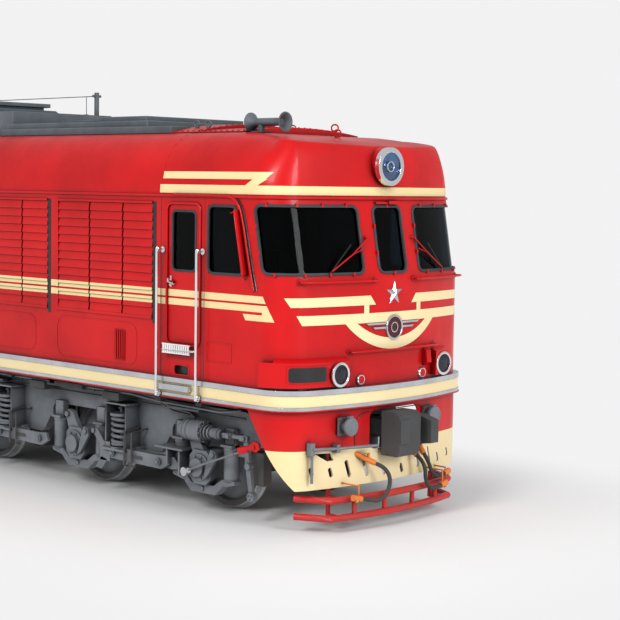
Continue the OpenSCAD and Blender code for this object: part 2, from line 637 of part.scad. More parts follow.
main_route = [[9350, 482, 716], [9379.9, 485, 676.1], [9398, 488.6, 647.7], [9411.4, 495.4, 617.4],
    [9419.6, 505.1, 586], [9422.3, 517.5, 554.6], [9421.9, 533.3, 525.4], [9420.4, 553.9, 499.4],
    [9418.1, 578.6, 477.3], [9414.9, 606.7, 459.9], [9410.9, 637.3, 447.7], [9406.3, 669.5, 441],
    [9401.3, 702.3, 440.1], [9396.6, 731.9, 441.8], [9391.8, 761.5, 443.6], [9387.1, 791, 445.4],
    [9385.4, 800.7, 446.2], [9383.6, 810.3, 447.5]];
function tangent(p, i) = let (a = p[max(0, i - 1)], b = p[min(len(p) - 1, i + 1)]) (b - a) / norm(b - a);
function side_of(t) = let (s = cross(t, [1, 1, 1])) s / norm(s);
// A tube along a route, one ring of eight or more points at each of its points
module tube(route, r, sides = 10) {
    rings = [for (i = [0:len(route) - 1]) let (t = tangent(route, i), u = side_of(t), v = cross(t, u))
        [for (k = [0:sides - 1]) route[i] + r * (cos(k * 360 / sides) * u + sin(k * 360 / sides) * v)]];
    loft(rings);
}
hose_r = hose_d / 2;
module front_long_hose() color("black") above_rail() tube(long_route, hose_r);
module front_feed_hose() color("black") above_rail() tube(feed_route, hose_r);
module front_main_hose() color("black") above_rail() tube(main_route, hose_r);
module rear_long_hose() rotate([0, 0, 180]) front_long_hose();
module rear_feed_hose() rotate([0, 0, 180]) front_feed_hose();
module rear_main_hose() rotate([0, 0, 180]) front_main_hose();
cock_r = 32;
// A cock stands off the pilot along the line on which its hose leaves it
function cock_length(route) = let (t = tangent(route, 0), y = abs(route[0][1] - 180 * t[1]) - cock_r)
    (route[0][0] - face_x(apron_x, y) + 0.4) / t[0];
module cock(route) {
    p = route[0];
    t = tangent(route, 0);
    n = cock_length(route);
    // its back end follows the bowed face it stands on
    difference() {
        bar(p - (n + 60) * t, p, cock_r);
        translate([0, 0, pilot_z0]) linear_extrude(600) polygon(end_plan(apron_x, seat_gap, 8000));
    }
    m = p - 0.42 * n * t;
    upright(m[0], m[1], m[2] + 10, m[2] + 68, 15);
    block(m[0] - 10, m[0] + 10, m[1] - 62, m[1] + 16, m[2] + 68, m[2] + 78);
}
module hose_cocks() color("orange") above_rail() both_ends()
    for (r = [long_route, feed_route, main_route]) cock(r);
module hose_heads() color("orange") above_rail() both_ends()
    for (r = [long_route, feed_route, main_route]) {
        e = r[len(r) - 1];
        t = tangent(r, len(r) - 1);
        bar(e, e + 130 * t, 34);
        bar(e + 80 * t, e + 80 * t + [20, 0, -42], 22);
        // hook that holds the head to the pilot
        h = e + 40 * t;
        bar(h, [h[0], h[1], pilot_z0 + 45], 9);
        bar([h[0] + 9, h[1], pilot_z0 + 45], [face_x(apron_x, abs(h[1]) - 9) - 0.4, h[1], pilot_z0 + 45], 9);
    }

// ---- doors ----
module door_leaf() {
    above_rail() {
        difference() {
            union() {
                plate_y(hinge_y, half_w - 5) door_shape();
                for (z = hinge_z) upright(door_x1, hinge_y, z, z + 60, knuckle_r);
            }
            plate_y(half_w - 60 - door_t, half_w + 20) door_window_shape();
        }
        plate_y(half_w - 35, half_w - 35 + glass_t) door_window_shape();
        block(door_x0 + 20, door_x0 + 110, half_w - 4.9, half_w + 22, 2650, 2674);
    }
}
module left_front_door() color(RED) door_leaf();
module right_front_door() color(RED) mirror([0, 1, 0]) door_leaf();
module left_rear_door() color(RED) mirror([1, 0, 0]) door_leaf();
module right_rear_door() color(RED) rotate([0, 0, 180]) door_leaf();

// ---- cab inside ----
module cab_interiors() color("beige") above_rail() both_ends() {
    // floor
    block(7125, 8700, -half_w + wall + 1, half_w - wall - 1, cab_floor_z - 60, cab_floor_z);
    block(8700, 9080, -1080, 1080, cab_floor_z - 60, cab_floor_z);
    // bulkheads towards the engine room and between vestibule and cab
    block(7080, 7124, -half_w + wall + 1, half_w - wall - 1, deck_z, gutter_z);
    difference() {
        block(7775, 7815, -half_w + wall + 1, half_w - wall - 1, cab_floor_z, gutter_z);
        block(7770, 7820, -330, 330, cab_floor_z + 10, 3500);
    }
    // desk
    plate_y(-1250, 1250) polygon([[8560, cab_floor_z], [8850, cab_floor_z], [8850, 2760], [8760, 2760], [8440, 2640], [8440, 2600], [8560, 2580]]);
}
module seats() color(DARK) above_rail() both_ends() both_sides() {
    upright(8050, 700, cab_floor_z, 2330, 60);
    block(7830, 8280, 460, 940, 2330, 2430);
    block(7830, 7920, 480, 920, 2430, 3020);
}

// ---- bogies ----
function axle_offset(k) = (1 - k) * axle_pitch;
frame_top = 1210;
frame_y0 = frame_y - frame_t / 2;
frame_y1 = frame_y + frame_t / 2;
arch_half = 640;
// Cross members of a bogie, from its pivot
cross_x0 = -1150;
cross_x1 = 1125;
cross_half = 110;
module side_frame_shape() difference() {
    polygon([[-3230, 860], [-3100, frame_top - 60], [-2900, frame_top], [2900, frame_top], [3100, frame_top - 60],
        [3230, 860], [3000, 780], [2900, 780], [-2900, 780], [-3000, 780]]);
    for (k = [0:2]) translate([axle_offset(k), 0]) rounded(-arch_half, arch_half, 300, 960, 90);
}
module side_lobes() for (s = [-1, 1]) translate([s * axle_pitch / 2, 0])
    polygon([[-axle_pitch / 2 + arch_half, 860], [-340, 600], [-280, 560], [280, 560], [340, 600],
        [axle_pitch / 2 - arch_half, 860]]);
module bogie_frame() color(GREY) above_rail() {
    both_sides() plate_y(frame_y0, frame_y1) {
        side_frame_shape();
        side_lobes();
    }
    difference() {
        union() {
            for (x = [cross_x0, cross_x1])
                block(x - cross_half, x + cross_half, -frame_y0, frame_y0, 700, 1150);
            for (x = [-3150, 3150]) block(x - 70, x + 70, -frame_y0, frame_y0, 880, 1130);
            block(-1040, 1015, -330, 330, 985, 1150);
        }
        upright(0, 0, 980, 1200, pin_r + 6);
    }
    // side bearers under the body
    for (x = [-865, 865]) both_sides()
        upright(x, frame_y, frame_top, deck_z - 60 - 0.3, 110);
}
box_half = 175;
module axle_box_at(x) translate([x, 0, 0]) {
    difference() {
        union() {
            plate_y(1010, 1320) polygon([[-box_half, 400], [-100, 325], [100, 325], [box_half, 400],
                [box_half, 650], [100, 725], [-100, 725], [-box_half, 650]]);
            along_y(0, 1320, 1389, axle_z, 108);
        }
        along_y(0, 1000, 1310, axle_z, journal_d / 2 + 2);
    }
    // spring beam under the box
    plate_y(1150, 1270) polygon([[-520, 415], [-315, 415], [-180, 324.5], [180, 324.5], [315, 415], [520, 415],
        [520, 370], [330, 330], [200, 215], [-200, 215], [-330, 330], [-520, 370]]);
}
module axle_boxes() color(GREY) above_rail() for (k = [0:2]) both_sides() axle_box_at(axle_offset(k));
module coil(x, y, z0, z1, r, wire) difference() {
    upright(x, y, z0, z1, r);
    upright(x, y, z0 - 1, z1 + 1, r - wire);
}
module springs() color(DARK) above_rail() both_sides() {
    for (k = [0:2]) for (s = [-1, 1]) {
        coil(axle_offset(k) + s * 415, 1210, 415.3, 760, 88, 24);
        upright(axle_offset(k) + s * 415, 1210, 760.3, 800, 92);
        block(axle_offset(k) + s * 415 - 90, axle_offset(k) + s * 415 + 90, frame_y1 + 0.3, 1245, 800.3, 1010);
    }
}
module wheel_lever(x, s) {
    plate_y(760, 830) polygon([[x, 330], [x + s * 45, 330], [x + s * 70, 700], [x + s * 60, 1000], [x + s * 10, 1000],
        [x + s * 15, 700]]);
}
shoe_gap = 6;
hanger_x = wheel_r + 60.3;
module brake_shoe(s) difference() {
    intersection() {
        along_y(0, tyre_y0 + 42, tyre_y1 - 6, axle_z, wheel_r + 60);
        block(s > 0 ? 400 : -640, s > 0 ? 640 : -400, 0, 1200, axle_z - 200, axle_z + 200);
    }
    along_y(0, 0, 1200, axle_z, wheel_r + shoe_gap);
}
module brake_gear() color(GREY) above_rail() {
    both_sides() for (k = [0:2]) for (s = [-1, 1]) translate([axle_offset(k), 0, 0]) {
        brake_shoe(s);
        // hanger from the frame to the shoe
        mirror([s > 0 ? 0 : 1, 0, 0]) {
            block(hanger_x, hanger_x + 40, 780, 820, 380, 1005);
            block(hanger_x, hanger_x + 40, 780, frame_y0 - 0.3, 965, 1005);
        }
    }
    // brake cylinders at both ends of each side
    both_sides() for (s = [0, 1]) mirror([s, 0, 0]) {
        along_x(2072, 2380, 1310, 945, 122);
        along_x(2380, 2662, 1310, 945, 60);
        along_x(2662, 3030, 1310, 945, 24);
        block(2130, 2330, frame_y1 + 0.3, 1200, 860, 1030);
        // long front lever and the pull rod below it
        plate_y(1290, 1330) polygon([[3020, 985], [3080, 985], [3185, 290], [3130, 270], [3060, 640]]);
        along_y(3070, frame_y1 + 0.3, 1290, 850, 26);
        plate_y(1305, 1340) polygon([[900, 480], [960, 600], [1880, 585], [1960, 510], [1940, 450], [1850, 440]]);
        along_y(1150, frame_y1 + 0.3, 1305, 585, 30);
    }
}
module motors() color(DARK) above_rail() for (m = [[2300, -1, cross_x1 + cross_half + 0.3], [0, -1, cross_x0 + cross_half + 0.3],
        [-2300, 1, cross_x0 - cross_half - 0.3]]) {
    x = m[0] + m[1] * 620;
    difference() {
        union() {
            along_y(x, -620, 480, 560, 365);
            block(min(x, m[0]), max(x, m[0]), 480, 640, 400, 700);
            block(min(x, m[0]), max(x, m[0]), -420, 480, 400, 700);
            // nose that rests on the nearest cross member
            block(min(x, m[2]), max(x, m[2]), -150, 150, 705, 790);
            along_y(m[0], -420, 420, axle_z, 190);
        }
        along_y(m[0], -700, 700, axle_z, axle_d / 2 + 5);
    }
}
module at_front() translate([pivot_x, 0, 0]) children();
module at_rear() rotate([0, 0, 180]) at_front() children();
module front_bogie_frame() at_front() bogie_frame();
module rear_bogie_frame() at_rear() bogie_frame();
module front_axle_boxes() at_front() axle_boxes();
module rear_axle_boxes() at_rear() axle_boxes();
module front_springs() at_front() springs();
module rear_springs() at_rear() springs();
module front_brake_gear() at_front() brake_gear();
module rear_brake_gear() at_rear() brake_gear();
module front_motors() at_front() motors();
module rear_motors() at_rear() motors();

// ---- wheelsets ----
hub_r = 150;
rim_r = wheel_r - 75;
// Half section of a wheelset: radius against distance from the centreline
module wheelset(x) color(SILVER) above_rail() translate([x, 0, axle_z]) rotate([-90, 0, 0]) {
    both_wheels = [-1, 1];
    for (s = both_wheels) mirror([0, 0, s > 0 ? 0 : 1]) rotate_extrude($fn = 120) polygon([
        [axle_d / 2 - 5, 660], [hub_r, 660], [hub_r + 20, 760], [rim_r - 20, 740], [rim_r, tyre_y0],
        [wheel_r + flange - 8, tyre_y0], [wheel_r + flange, tyre_y0 + 9], [wheel_r + flange - 4, tyre_y0 + 22],
        [wheel_r + 8, tyre_y0 + 34], [wheel_r, tyre_y0 + 46], [wheel_r - 3, tyre_y1 - 8], [wheel_r - 10, tyre_y1],
        [rim_r, tyre_y1], [rim_r - 18, tyre_y1 - 55], [hub_r + 20, tyre_y1 - 35], [hub_r, tyre_y1 + 20],
        [axle_d / 2 - 5, tyre_y1 + 20]]);
    translate([0, 0, -tyre_y1 - 60]) cylinder(d = axle_d, h = 2 * tyre_y1 + 120, $fn = 64);
    translate([0, 0, -1300]) cylinder(d = journal_d, h = 2600, $fn = 64);
}
module wheelset_1() wheelset(pivot_x + axle_pitch);
module wheelset_2() wheelset(pivot_x);
module wheelset_3() wheelset(pivot_x - axle_pitch);
module wheelset_4() wheelset(-pivot_x + axle_pitch);
module wheelset_5() wheelset(-pivot_x);
module wheelset_6() wheelset(-pivot_x - axle_pitch);

underframe();
front_cab();
rear_cab();
cab_roofs();
right_side_wall();
left_side_wall();
roof();
cab_glass();
cab_interiors();
seats();
belt();
gutter();
louvres();
roof_hatches();
cab_hatches();
headlights();
buffer_lights();
horns();
antenna();
aprons();
pilots();
guard_pipes();
handrails();
steps();
fuel_tank();
air_reservoirs();
engine();
jumper_sockets();
uncoupling_levers();
hose_cocks();
hose_heads();
front_long_hose();
front_feed_hose();
front_main_hose();
rear_long_hose();
rear_feed_hose();
rear_main_hose();
right_front_door();
left_front_door();
right_rear_door();
left_rear_door();
front_bogie_frame();
rear_bogie_frame();
front_axle_boxes();
rear_axle_boxes();
front_springs();
rear_springs();
front_brake_gear();
rear_brake_gear();
front_motors();
rear_motors();
front_coupler();
rear_coupler();
wheelset_1();
wheelset_2();
wheelset_3();
wheelset_4();
wheelset_5();
wheelset_6();
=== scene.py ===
import math

import bmesh
import bpy
from mathutils import Matrix, Vector


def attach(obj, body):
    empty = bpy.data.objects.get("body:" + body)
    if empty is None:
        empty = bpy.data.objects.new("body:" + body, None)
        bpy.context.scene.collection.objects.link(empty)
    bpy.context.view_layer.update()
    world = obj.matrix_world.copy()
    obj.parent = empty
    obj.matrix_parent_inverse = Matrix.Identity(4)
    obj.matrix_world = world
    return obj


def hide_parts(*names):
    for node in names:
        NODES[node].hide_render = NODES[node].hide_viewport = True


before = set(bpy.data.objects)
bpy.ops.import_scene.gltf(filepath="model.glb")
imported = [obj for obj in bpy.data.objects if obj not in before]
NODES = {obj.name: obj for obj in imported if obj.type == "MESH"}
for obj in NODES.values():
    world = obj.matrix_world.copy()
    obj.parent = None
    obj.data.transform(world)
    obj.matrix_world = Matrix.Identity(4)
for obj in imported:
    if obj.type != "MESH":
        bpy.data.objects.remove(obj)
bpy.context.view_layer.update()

# ---------------------------------------------------------------- sizes, in metres
RAIL = 0.028             # height of the rail's top over the flange tips
NOSE = 9.270             # middle of an end face
HALF_W = 1.550           # half the body's width
CREASE = RAIL + 2.740    # the end face leans back above this
RAKE = 0.185
BOW_R = 5.050
CORNER_R = 0.430
CORNER_Y = HALF_W - CORNER_R
CORNER_DX = math.sqrt((BOW_R - CORNER_R) ** 2 - CORNER_Y ** 2)
CORNER_A = math.atan2(CORNER_Y, CORNER_DX)
PAINT = 0.0016           # how far a painted stripe stands off the sheet below it


def up(z):
    """Height above the floor of a height given above the rail."""
    return RAIL + z


def nose_at(z):
    return NOSE if z <= CREASE else NOSE - RAKE * (z - CREASE)


def face_x(y, z, grow=0.0):
    """X of the end face at one height and one distance from the centreline."""
    a = abs(y)
    if a < BOW_R * math.sin(CORNER_A):
        return nose_at(z) - BOW_R + math.sqrt((BOW_R + grow) ** 2 - a * a)
    side = min(a - CORNER_Y, CORNER_R + grow)
    return nose_at(z) - BOW_R + CORNER_DX + math.sqrt((CORNER_R + grow) ** 2 - side ** 2)


def face_normal(y):
    """Outward normal of the end face in plan."""
    a = abs(y)
    if a < BOW_R * math.sin(CORNER_A):
        t = math.asin(a / BOW_R)
    else:
        t = math.asin(min(1.0, (a - CORNER_Y) / CORNER_R))
    return Vector((math.cos(t), math.copysign(math.sin(t), y), 0.0))


# ---------------------------------------------------------------- camera
def camera():
    """The view from ahead and to the right, a little above the belt."""
    data = bpy.data.cameras.new("view")
    data.sensor_width = 36.0
    data.lens = 91.7
    cam = bpy.data.objects.new("view", data)
    bpy.context.scene.collection.objects.link(cam)
    azimuth, pitch, roll = math.radians(43.348), math.radians(4.52), math.radians(0.844)
    back = Vector((math.sin(azimuth) * math.cos(pitch), -math.cos(azimuth) * math.cos(pitch), math.sin(pitch)))
    right = (-back).cross(Vector((0, 0, 1))).normalized()
    over = right.cross(-back).normalized()
    side = right * math.cos(roll) + over * math.sin(roll)
    top = over * math.cos(roll) - right * math.sin(roll)
    cam.matrix_world = Matrix((
        (side.x, top.x, back.x, 20.756),
        (side.y, top.y, back.y, -13.550),
        (side.z, top.z, back.z, 3.781 + RAIL),
        (0, 0, 0, 1)))
    data.clip_end = 300.0
    bpy.context.scene.camera = cam


camera()


# ---------------------------------------------------------------- making meshes
def new_piece(name, bm, body="car_body", material=None):
    """A bmesh becomes a piece that rides on a body."""
    mesh = bpy.data.meshes.new(name)
    bm.to_mesh(mesh)
    bm.free()
    return dress(name, mesh, body, material)


def dress(name, mesh, body, material):
    obj = bpy.data.objects.new(name, mesh)
    bpy.context.scene.collection.objects.link(obj)
    if material is not None:
        mesh.materials.clear()
        mesh.materials.append(material)
    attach(obj, body)
    return obj


def flatten(obj):
    """Turns an object's modifiers into plain mesh."""
    bpy.context.view_layer.update()
    graph = bpy.context.evaluated_depsgraph_get()
    mesh = bpy.data.meshes.new_from_object(obj.evaluated_get(graph))
    old = obj.data
    obj.modifiers.clear()
    obj.data = mesh
    bpy.data.meshes.remove(old)
    return obj


def smooth_by_angle(bm, degrees):
    limit = math.radians(degrees)
    for f in bm.faces:
        f.smooth = True
    for e in bm.edges:
        e.smooth = len(e.link_faces) == 2 and e.calc_face_angle(0.0) < limit


def copy_of(node):
    """A node's own shape with its loose triangles joined."""
    bm = bmesh.new()
    bm.from_mesh(NODES[node].data)
    bmesh.ops.remove_doubles(bm, verts=bm.verts, dist=0.00005)
    bmesh.ops.dissolve_limit(bm, angle_limit=math.radians(0.6), verts=bm.verts, edges=bm.edges)
    return bm


def refined(node, body, material, edge=0.003, angle=32, name=None, segments=2):
    """A CAD node with rounded edges and smooth curves, which stands for it."""
    bm = copy_of(node)
    smooth_by_angle(bm, angle)
    obj = new_piece(name or node + "_finished", bm, body, material)
    if edge:
        bevel = obj.modifiers.new("edges", "BEVEL")
        bevel.width = edge
        bevel.segments = segments
        bevel.limit_method = "ANGLE"
        bevel.angle_limit = math.radians(angle)
        bevel.harden_normals = False
        bevel.use_clamp_overlap = True
    weigh = obj.modifiers.new("normals", "WEIGHTED_NORMAL")
    weigh.keep_sharp = True
    flatten(obj)
    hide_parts(node)
    return obj


# ---------------------------------------------------------------- shader groups
def group(name, inputs, outputs):
    """A shader node group with named sockets, each given as (name, type, default)."""
    tree = bpy.data.node_groups.new(name, "ShaderNodeTree")
    for label, kind, value in inputs:
        s = tree.interface.new_socket(name=label, in_out="INPUT", socket_type=kind)
        if value is not None:
            s.default_value = value
    for label, kind in outputs:
        tree.interface.new_socket(name=label, in_out="OUTPUT", socket_type=kind)
    return tree, tree.nodes.new("NodeGroupInput"), tree.nodes.new("NodeGroupOutput")


def math_node(tree, op, a, b=None, c=None, clamp=False):
    n = tree.nodes.new("ShaderNodeMath")
    n.operation = op
    n.use_clamp = clamp
    for i, v in enumerate((a, b, c)):
        if v is None:
            continue
        if isinstance(v, (int, float)):
            n.inputs[i].default_value = v
        else:
            tree.links.new(v, n.inputs[i])
    return n.outputs[0]


def weathering_and_shade_group():
    """Patches of wear, fine grain and dust that gathers low down, from Object coordinates, and painted shade in
    corners and gaps from ambient occlusion.
    """
    f = "NodeSocketFloat"
    tree, gi, go = group("weathering and painted shade", [("Patch size", f, 1.2), ("Grain size", f, 60.0), ("Dust height", f, 1.0),
                                        ("Shade reach", f, 0.1)],
                         [("Patches", f), ("Grain", f), ("Dust", f), ("Corner shade", f)])
    where = tree.nodes.new("ShaderNodeTexCoord")
    patch = tree.nodes.new("ShaderNodeTexNoise")
    patch.inputs["Detail"].default_value = 6.0
    patch.inputs["Roughness"].default_value = 0.62
    tree.links.new(where.outputs["Object"], patch.inputs["Vector"])
    tree.links.new(gi.outputs["Patch size"], patch.inputs["Scale"])
    grain = tree.nodes.new("ShaderNodeTexNoise")
    grain.inputs["Detail"].default_value = 3.0
    tree.links.new(where.outputs["Object"], grain.inputs["Vector"])
    tree.links.new(gi.outputs["Grain size"], grain.inputs["Scale"])
    split = tree.nodes.new("ShaderNodeSeparateXYZ")
    tree.links.new(where.outputs["Object"], split.inputs[0])
    ramp = math_node(tree, "SUBTRACT", 1.0, math_node(tree, "DIVIDE", split.outputs["Z"], gi.outputs["Dust height"]),
                     clamp=True)
    dust = math_node(tree, "MULTIPLY", ramp, math_node(tree, "MULTIPLY_ADD", patch.outputs[0], 1.2, -0.1, clamp=True))
    tree.links.new(patch.outputs[0], go.inputs["Patches"])
    tree.links.new(grain.outputs[0], go.inputs["Grain"])
    tree.links.new(dust, go.inputs["Dust"])
    # painted shade: ambient occlusion darkens corners and gaps
    near = tree.nodes.new("ShaderNodeAmbientOcclusion")
    near.samples = 6
    tree.links.new(gi.outputs["Shade reach"], near.inputs["Distance"])
    corner_shade = math_node(tree, "SUBTRACT", 1.0, near.outputs["AO"], clamp=True)
    tree.links.new(corner_shade, go.inputs["Corner shade"])
    return tree


def strip_group():
    """1 inside a strip between two lines and two slanted ends, 0 outside. Ends move by Slant for each metre up."""
    f = "NodeSocketFloat"
    tree, gi, go = group("painted strip", [
        ("Along", f, 0.0), ("Up", f, 0.0), ("Start", f, -100.0), ("End", f, 100.0),
        ("Low", f, 0.0), ("High", f, 1.0), ("Start slant", f, 0.0), ("End slant", f, 0.0)], [("Mask", f)])
    rise = math_node(tree, "SUBTRACT", gi.outputs["Up"], gi.outputs["Low"])
    start = math_node(tree, "MULTIPLY_ADD", rise, gi.outputs["Start slant"], gi.outputs["Start"])
    end = math_node(tree, "MULTIPLY_ADD", rise, gi.outputs["End slant"], gi.outputs["End"])
    parts = [math_node(tree, "GREATER_THAN", gi.outputs["Along"], start),
             math_node(tree, "LESS_THAN", gi.outputs["Along"], end),
             math_node(tree, "GREATER_THAN", gi.outputs["Up"], gi.outputs["Low"]),
             math_node(tree, "LESS_THAN", gi.outputs["Up"], gi.outputs["High"])]
    mask = parts[0]
    for p in parts[1:]:
        mask = math_node(tree, "MULTIPLY", mask, p)
    tree.links.new(mask, go.inputs["Mask"])
    return tree


WEATHERING_AND_SHADE = weathering_and_shade_group()
STRIP = strip_group()


class Paint:
    """A material under construction: its Principled shader, and short ways to add nodes."""

    def __init__(self, name, rough, metal=0.0, coat=0.0, coat_rough=0.1, patch=1.2, grain=60.0, dust_height=1.0):
        self.mat = bpy.data.materials.new(name)
        self.mat.use_nodes = True
        self.tree = self.mat.node_tree
        self.shader = self.tree.nodes["Principled BSDF"]
        self.shader.inputs["Roughness"].default_value = rough
        self.shader.inputs["Metallic"].default_value = metal
        self.shader.inputs["Coat Weight"].default_value = coat
        self.shader.inputs["Coat Roughness"].default_value = coat_rough
        self.weather_and_shade = self.tree.nodes.new("ShaderNodeGroup")
        self.weather_and_shade.node_tree = WEATHERING_AND_SHADE
        self.weather_and_shade.inputs["Patch size"].default_value = patch
        self.weather_and_shade.inputs["Grain size"].default_value = grain
        self.weather_and_shade.inputs["Dust height"].default_value = dust_height

    def mix(self, factor, a, b):
        n = self.tree.nodes.new("ShaderNodeMix")
        n.data_type = "RGBA"
        n.inputs[0].default_value = 0.5
        if isinstance(factor, (int, float)):
            n.inputs[0].default_value = factor
        else:
            self.tree.links.new(factor, n.inputs[0])
        for socket, v in ((n.inputs[6], a), (n.inputs[7], b)):
            if isinstance(v, tuple):
                socket.default_value = (*v, 1.0)
            else:
                self.tree.links.new(v, socket)
        return n.outputs[2]

    def remap(self, value, lo, hi, to_lo=0.0, to_hi=1.0):
        n = self.tree.nodes.new("ShaderNodeMapRange")
        for i, v in enumerate((lo, hi, to_lo, to_hi), 1):
            n.inputs[i].default_value = v
        self.tree.links.new(value, n.inputs[0])
        return n.outputs[0]

    def colour(self, socket):
        self.tree.links.new(socket, self.shader.inputs["Base Color"])

    def corner_shade(self, reach, strength, painted_shade):
        """Painted shade in corners, gaps and under edges, over the colour already set."""
        self.weather_and_shade.inputs["Shade reach"].default_value = reach
        old = self.shader.inputs["Base Color"].links[0].from_socket
        amount = self.remap(self.weather_and_shade.outputs["Corner shade"], 0.05, 0.60, 0.0, strength)
        self.colour(self.mix(amount, old, painted_shade))

    def roughness(self, lo, hi):
        r = self.remap(self.weather_and_shade.outputs["Patches"], 0.3, 0.7, lo, hi)
        self.tree.links.new(r, self.shader.inputs["Roughness"])

    def bump(self, height, strength, distance):
        n = self.tree.nodes.new("ShaderNodeBump")
        n.inputs["Strength"].default_value = strength
        n.inputs["Distance"].default_value = distance
        self.tree.links.new(height, n.inputs["Height"])
        self.tree.links.new(n.outputs[0], self.shader.inputs["Normal"])

    def position(self):
        where = self.tree.nodes.new("ShaderNodeTexCoord")
        split = self.tree.nodes.new("ShaderNodeSeparateXYZ")
        self.tree.links.new(where.outputs["Object"], split.inputs[0])
        return split.outputs

    def strip(self, along, height, **values):
        n = self.tree.nodes.new("ShaderNodeGroup")
        n.node_tree = STRIP
        self.tree.links.new(along, n.inputs["Along"])
        self.tree.links.new(height, n.inputs["Up"])
        for key, v in values.items():
            n.inputs[key.replace("_", " ").capitalize()].default_value = v
        return n.outputs[0]


def enamel(name, colour, dark, rough=0.34, coat=0.1, dust=(0.30, 0.26, 0.22), dust_height=1.2, dusty=0.25,
           painted_shade=True):
    """Glossy enamel: a little unevenness in tone, orange peel, dust low down, and painted shade in corners unless
    turned off.
    """
    p = Paint(name, rough, coat=coat, coat_rough=0.08, patch=0.9, grain=220.0, dust_height=dust_height)
    tone = p.mix(p.remap(p.weather_and_shade.outputs["Patches"], 0.35, 0.65), colour, dark)
    p.colour(p.mix(p.remap(p.weather_and_shade.outputs["Dust"], 0.0, 1.0, 0.0, dusty), tone, dust))
    p.roughness(rough * 0.8, rough * 1.5)
    p.shader.inputs["Specular IOR Level"].default_value = 0.22
    # painted shade: near-black in corners and gaps
    if painted_shade:
        p.corner_shade(0.12, 0.92, tuple(c * 0.08 for c in colour))
    p.bump(p.weather_and_shade.outputs["Grain"], 0.03, 0.001)
    return p


RED = (0.60, 0.0022, 0.004)
RED_DARK = (0.44, 0.0014, 0.003)
CREAM = (0.80, 0.64, 0.33)


def body_paint():
    """Red enamel with the long cream strips along the sides and round the brow painted on."""
    p = enamel("body red with strips", RED, RED_DARK, painted_shade=False)
    x, y, z = p.position()
    along = math_node(p.tree, "ABSOLUTE", x)
    out = math_node(p.tree, "ABSOLUTE", y)
    side = math_node(p.tree, "GREATER_THAN", out, HALF_W - 0.06)
    upper = p.strip(along, z, start=-1.0, end=8.766, low=up(2.497), high=up(2.574), end_slant=-0.55)
    lower = p.strip(along, z, start=-1.0, end=8.820, low=up(2.400), high=up(2.473), end_slant=-0.54)
    # the lower strip turns down and back under itself
    bend = p.strip(along, z, start=8.715, end=8.838, low=up(2.369), high=up(2.401), end_slant=-0.6)
    hook = p.strip(along, z, start=8.460, end=8.872, low=up(2.302), high=up(2.370), start_slant=-0.59, end_slant=-0.5)
    sides = math_node(p.tree, "MAXIMUM", math_node(p.tree, "MAXIMUM", upper, lower),
                      math_node(p.tree, "MAXIMUM", bend, hook))
    sides = math_node(p.tree, "MULTIPLY", sides, side)
    brow = p.strip(along, z, start=7.038, end=20.0, low=up(3.672), high=up(3.768))
    high = p.strip(along, z, start=7.069, end=8.690, low=up(3.835), high=up(3.915), end_slant=0.9)
    link = p.strip(along, z, start=8.420, end=8.600, low=up(3.765), high=up(3.840), start_slant=1.5, end_slant=1.5)
    roof = math_node(p.tree, "MAXIMUM", brow, math_node(p.tree, "MAXIMUM", high, link))
    mask = math_node(p.tree, "MAXIMUM", sides, roof)
    old = p.shader.inputs["Base Color"].links[0].from_socket
    p.colour(p.mix(mask, old, CREAM))
    # painted shade: near-black red in corners and gaps
    p.corner_shade(0.14, 0.95, (0.03, 0.0006, 0.0008))
    return p.mat


def satin(name, colour, dark, rough=0.5, metal=0.0, dust=(0.23, 0.20, 0.17), dusty=0.5, dust_height=1.6, grain=140.0,
          bump=0.12, painted_shade=0.0):
    """Working paint or bare metal: patchy tone, grain and a coat of dust, with painted shade in corners when asked
    for.
    """
    p = Paint(name, rough, metal=metal, patch=3.0, grain=grain, dust_height=dust_height)
    tone = p.mix(p.remap(p.weather_and_shade.outputs["Patches"], 0.35, 0.65), colour, dark)
    p.colour(p.mix(p.remap(p.weather_and_shade.outputs["Dust"], 0.0, 1.0, 0.0, dusty), tone, dust))
    p.roughness(rough * 0.85, min(1.0, rough * 1.3))
    p.bump(p.weather_and_shade.outputs["Grain"], bump, 0.002)
    # painted shade in corners and gaps
    if painted_shade:
        p.corner_shade(0.20, painted_shade, tuple(c * 0.12 for c in dark))
    return p.mat


def glass(name, tint, rough=0.02, ior=1.14):
    """Tinted pane: dark enough to mirror the room, clear enough to show what stands behind."""
    mat = bpy.data.materials.new(name)
    mat.use_nodes = True
    shader = mat.node_tree.nodes["Principled BSDF"]
    shader.inputs["Base Color"].default_value = (*tint, 1.0)
    shader.inputs["Roughness"].default_value = rough
    shader.inputs["Transmission Weight"].default_value = 1.0
    shader.inputs["IOR"].default_value = ior
    return mat


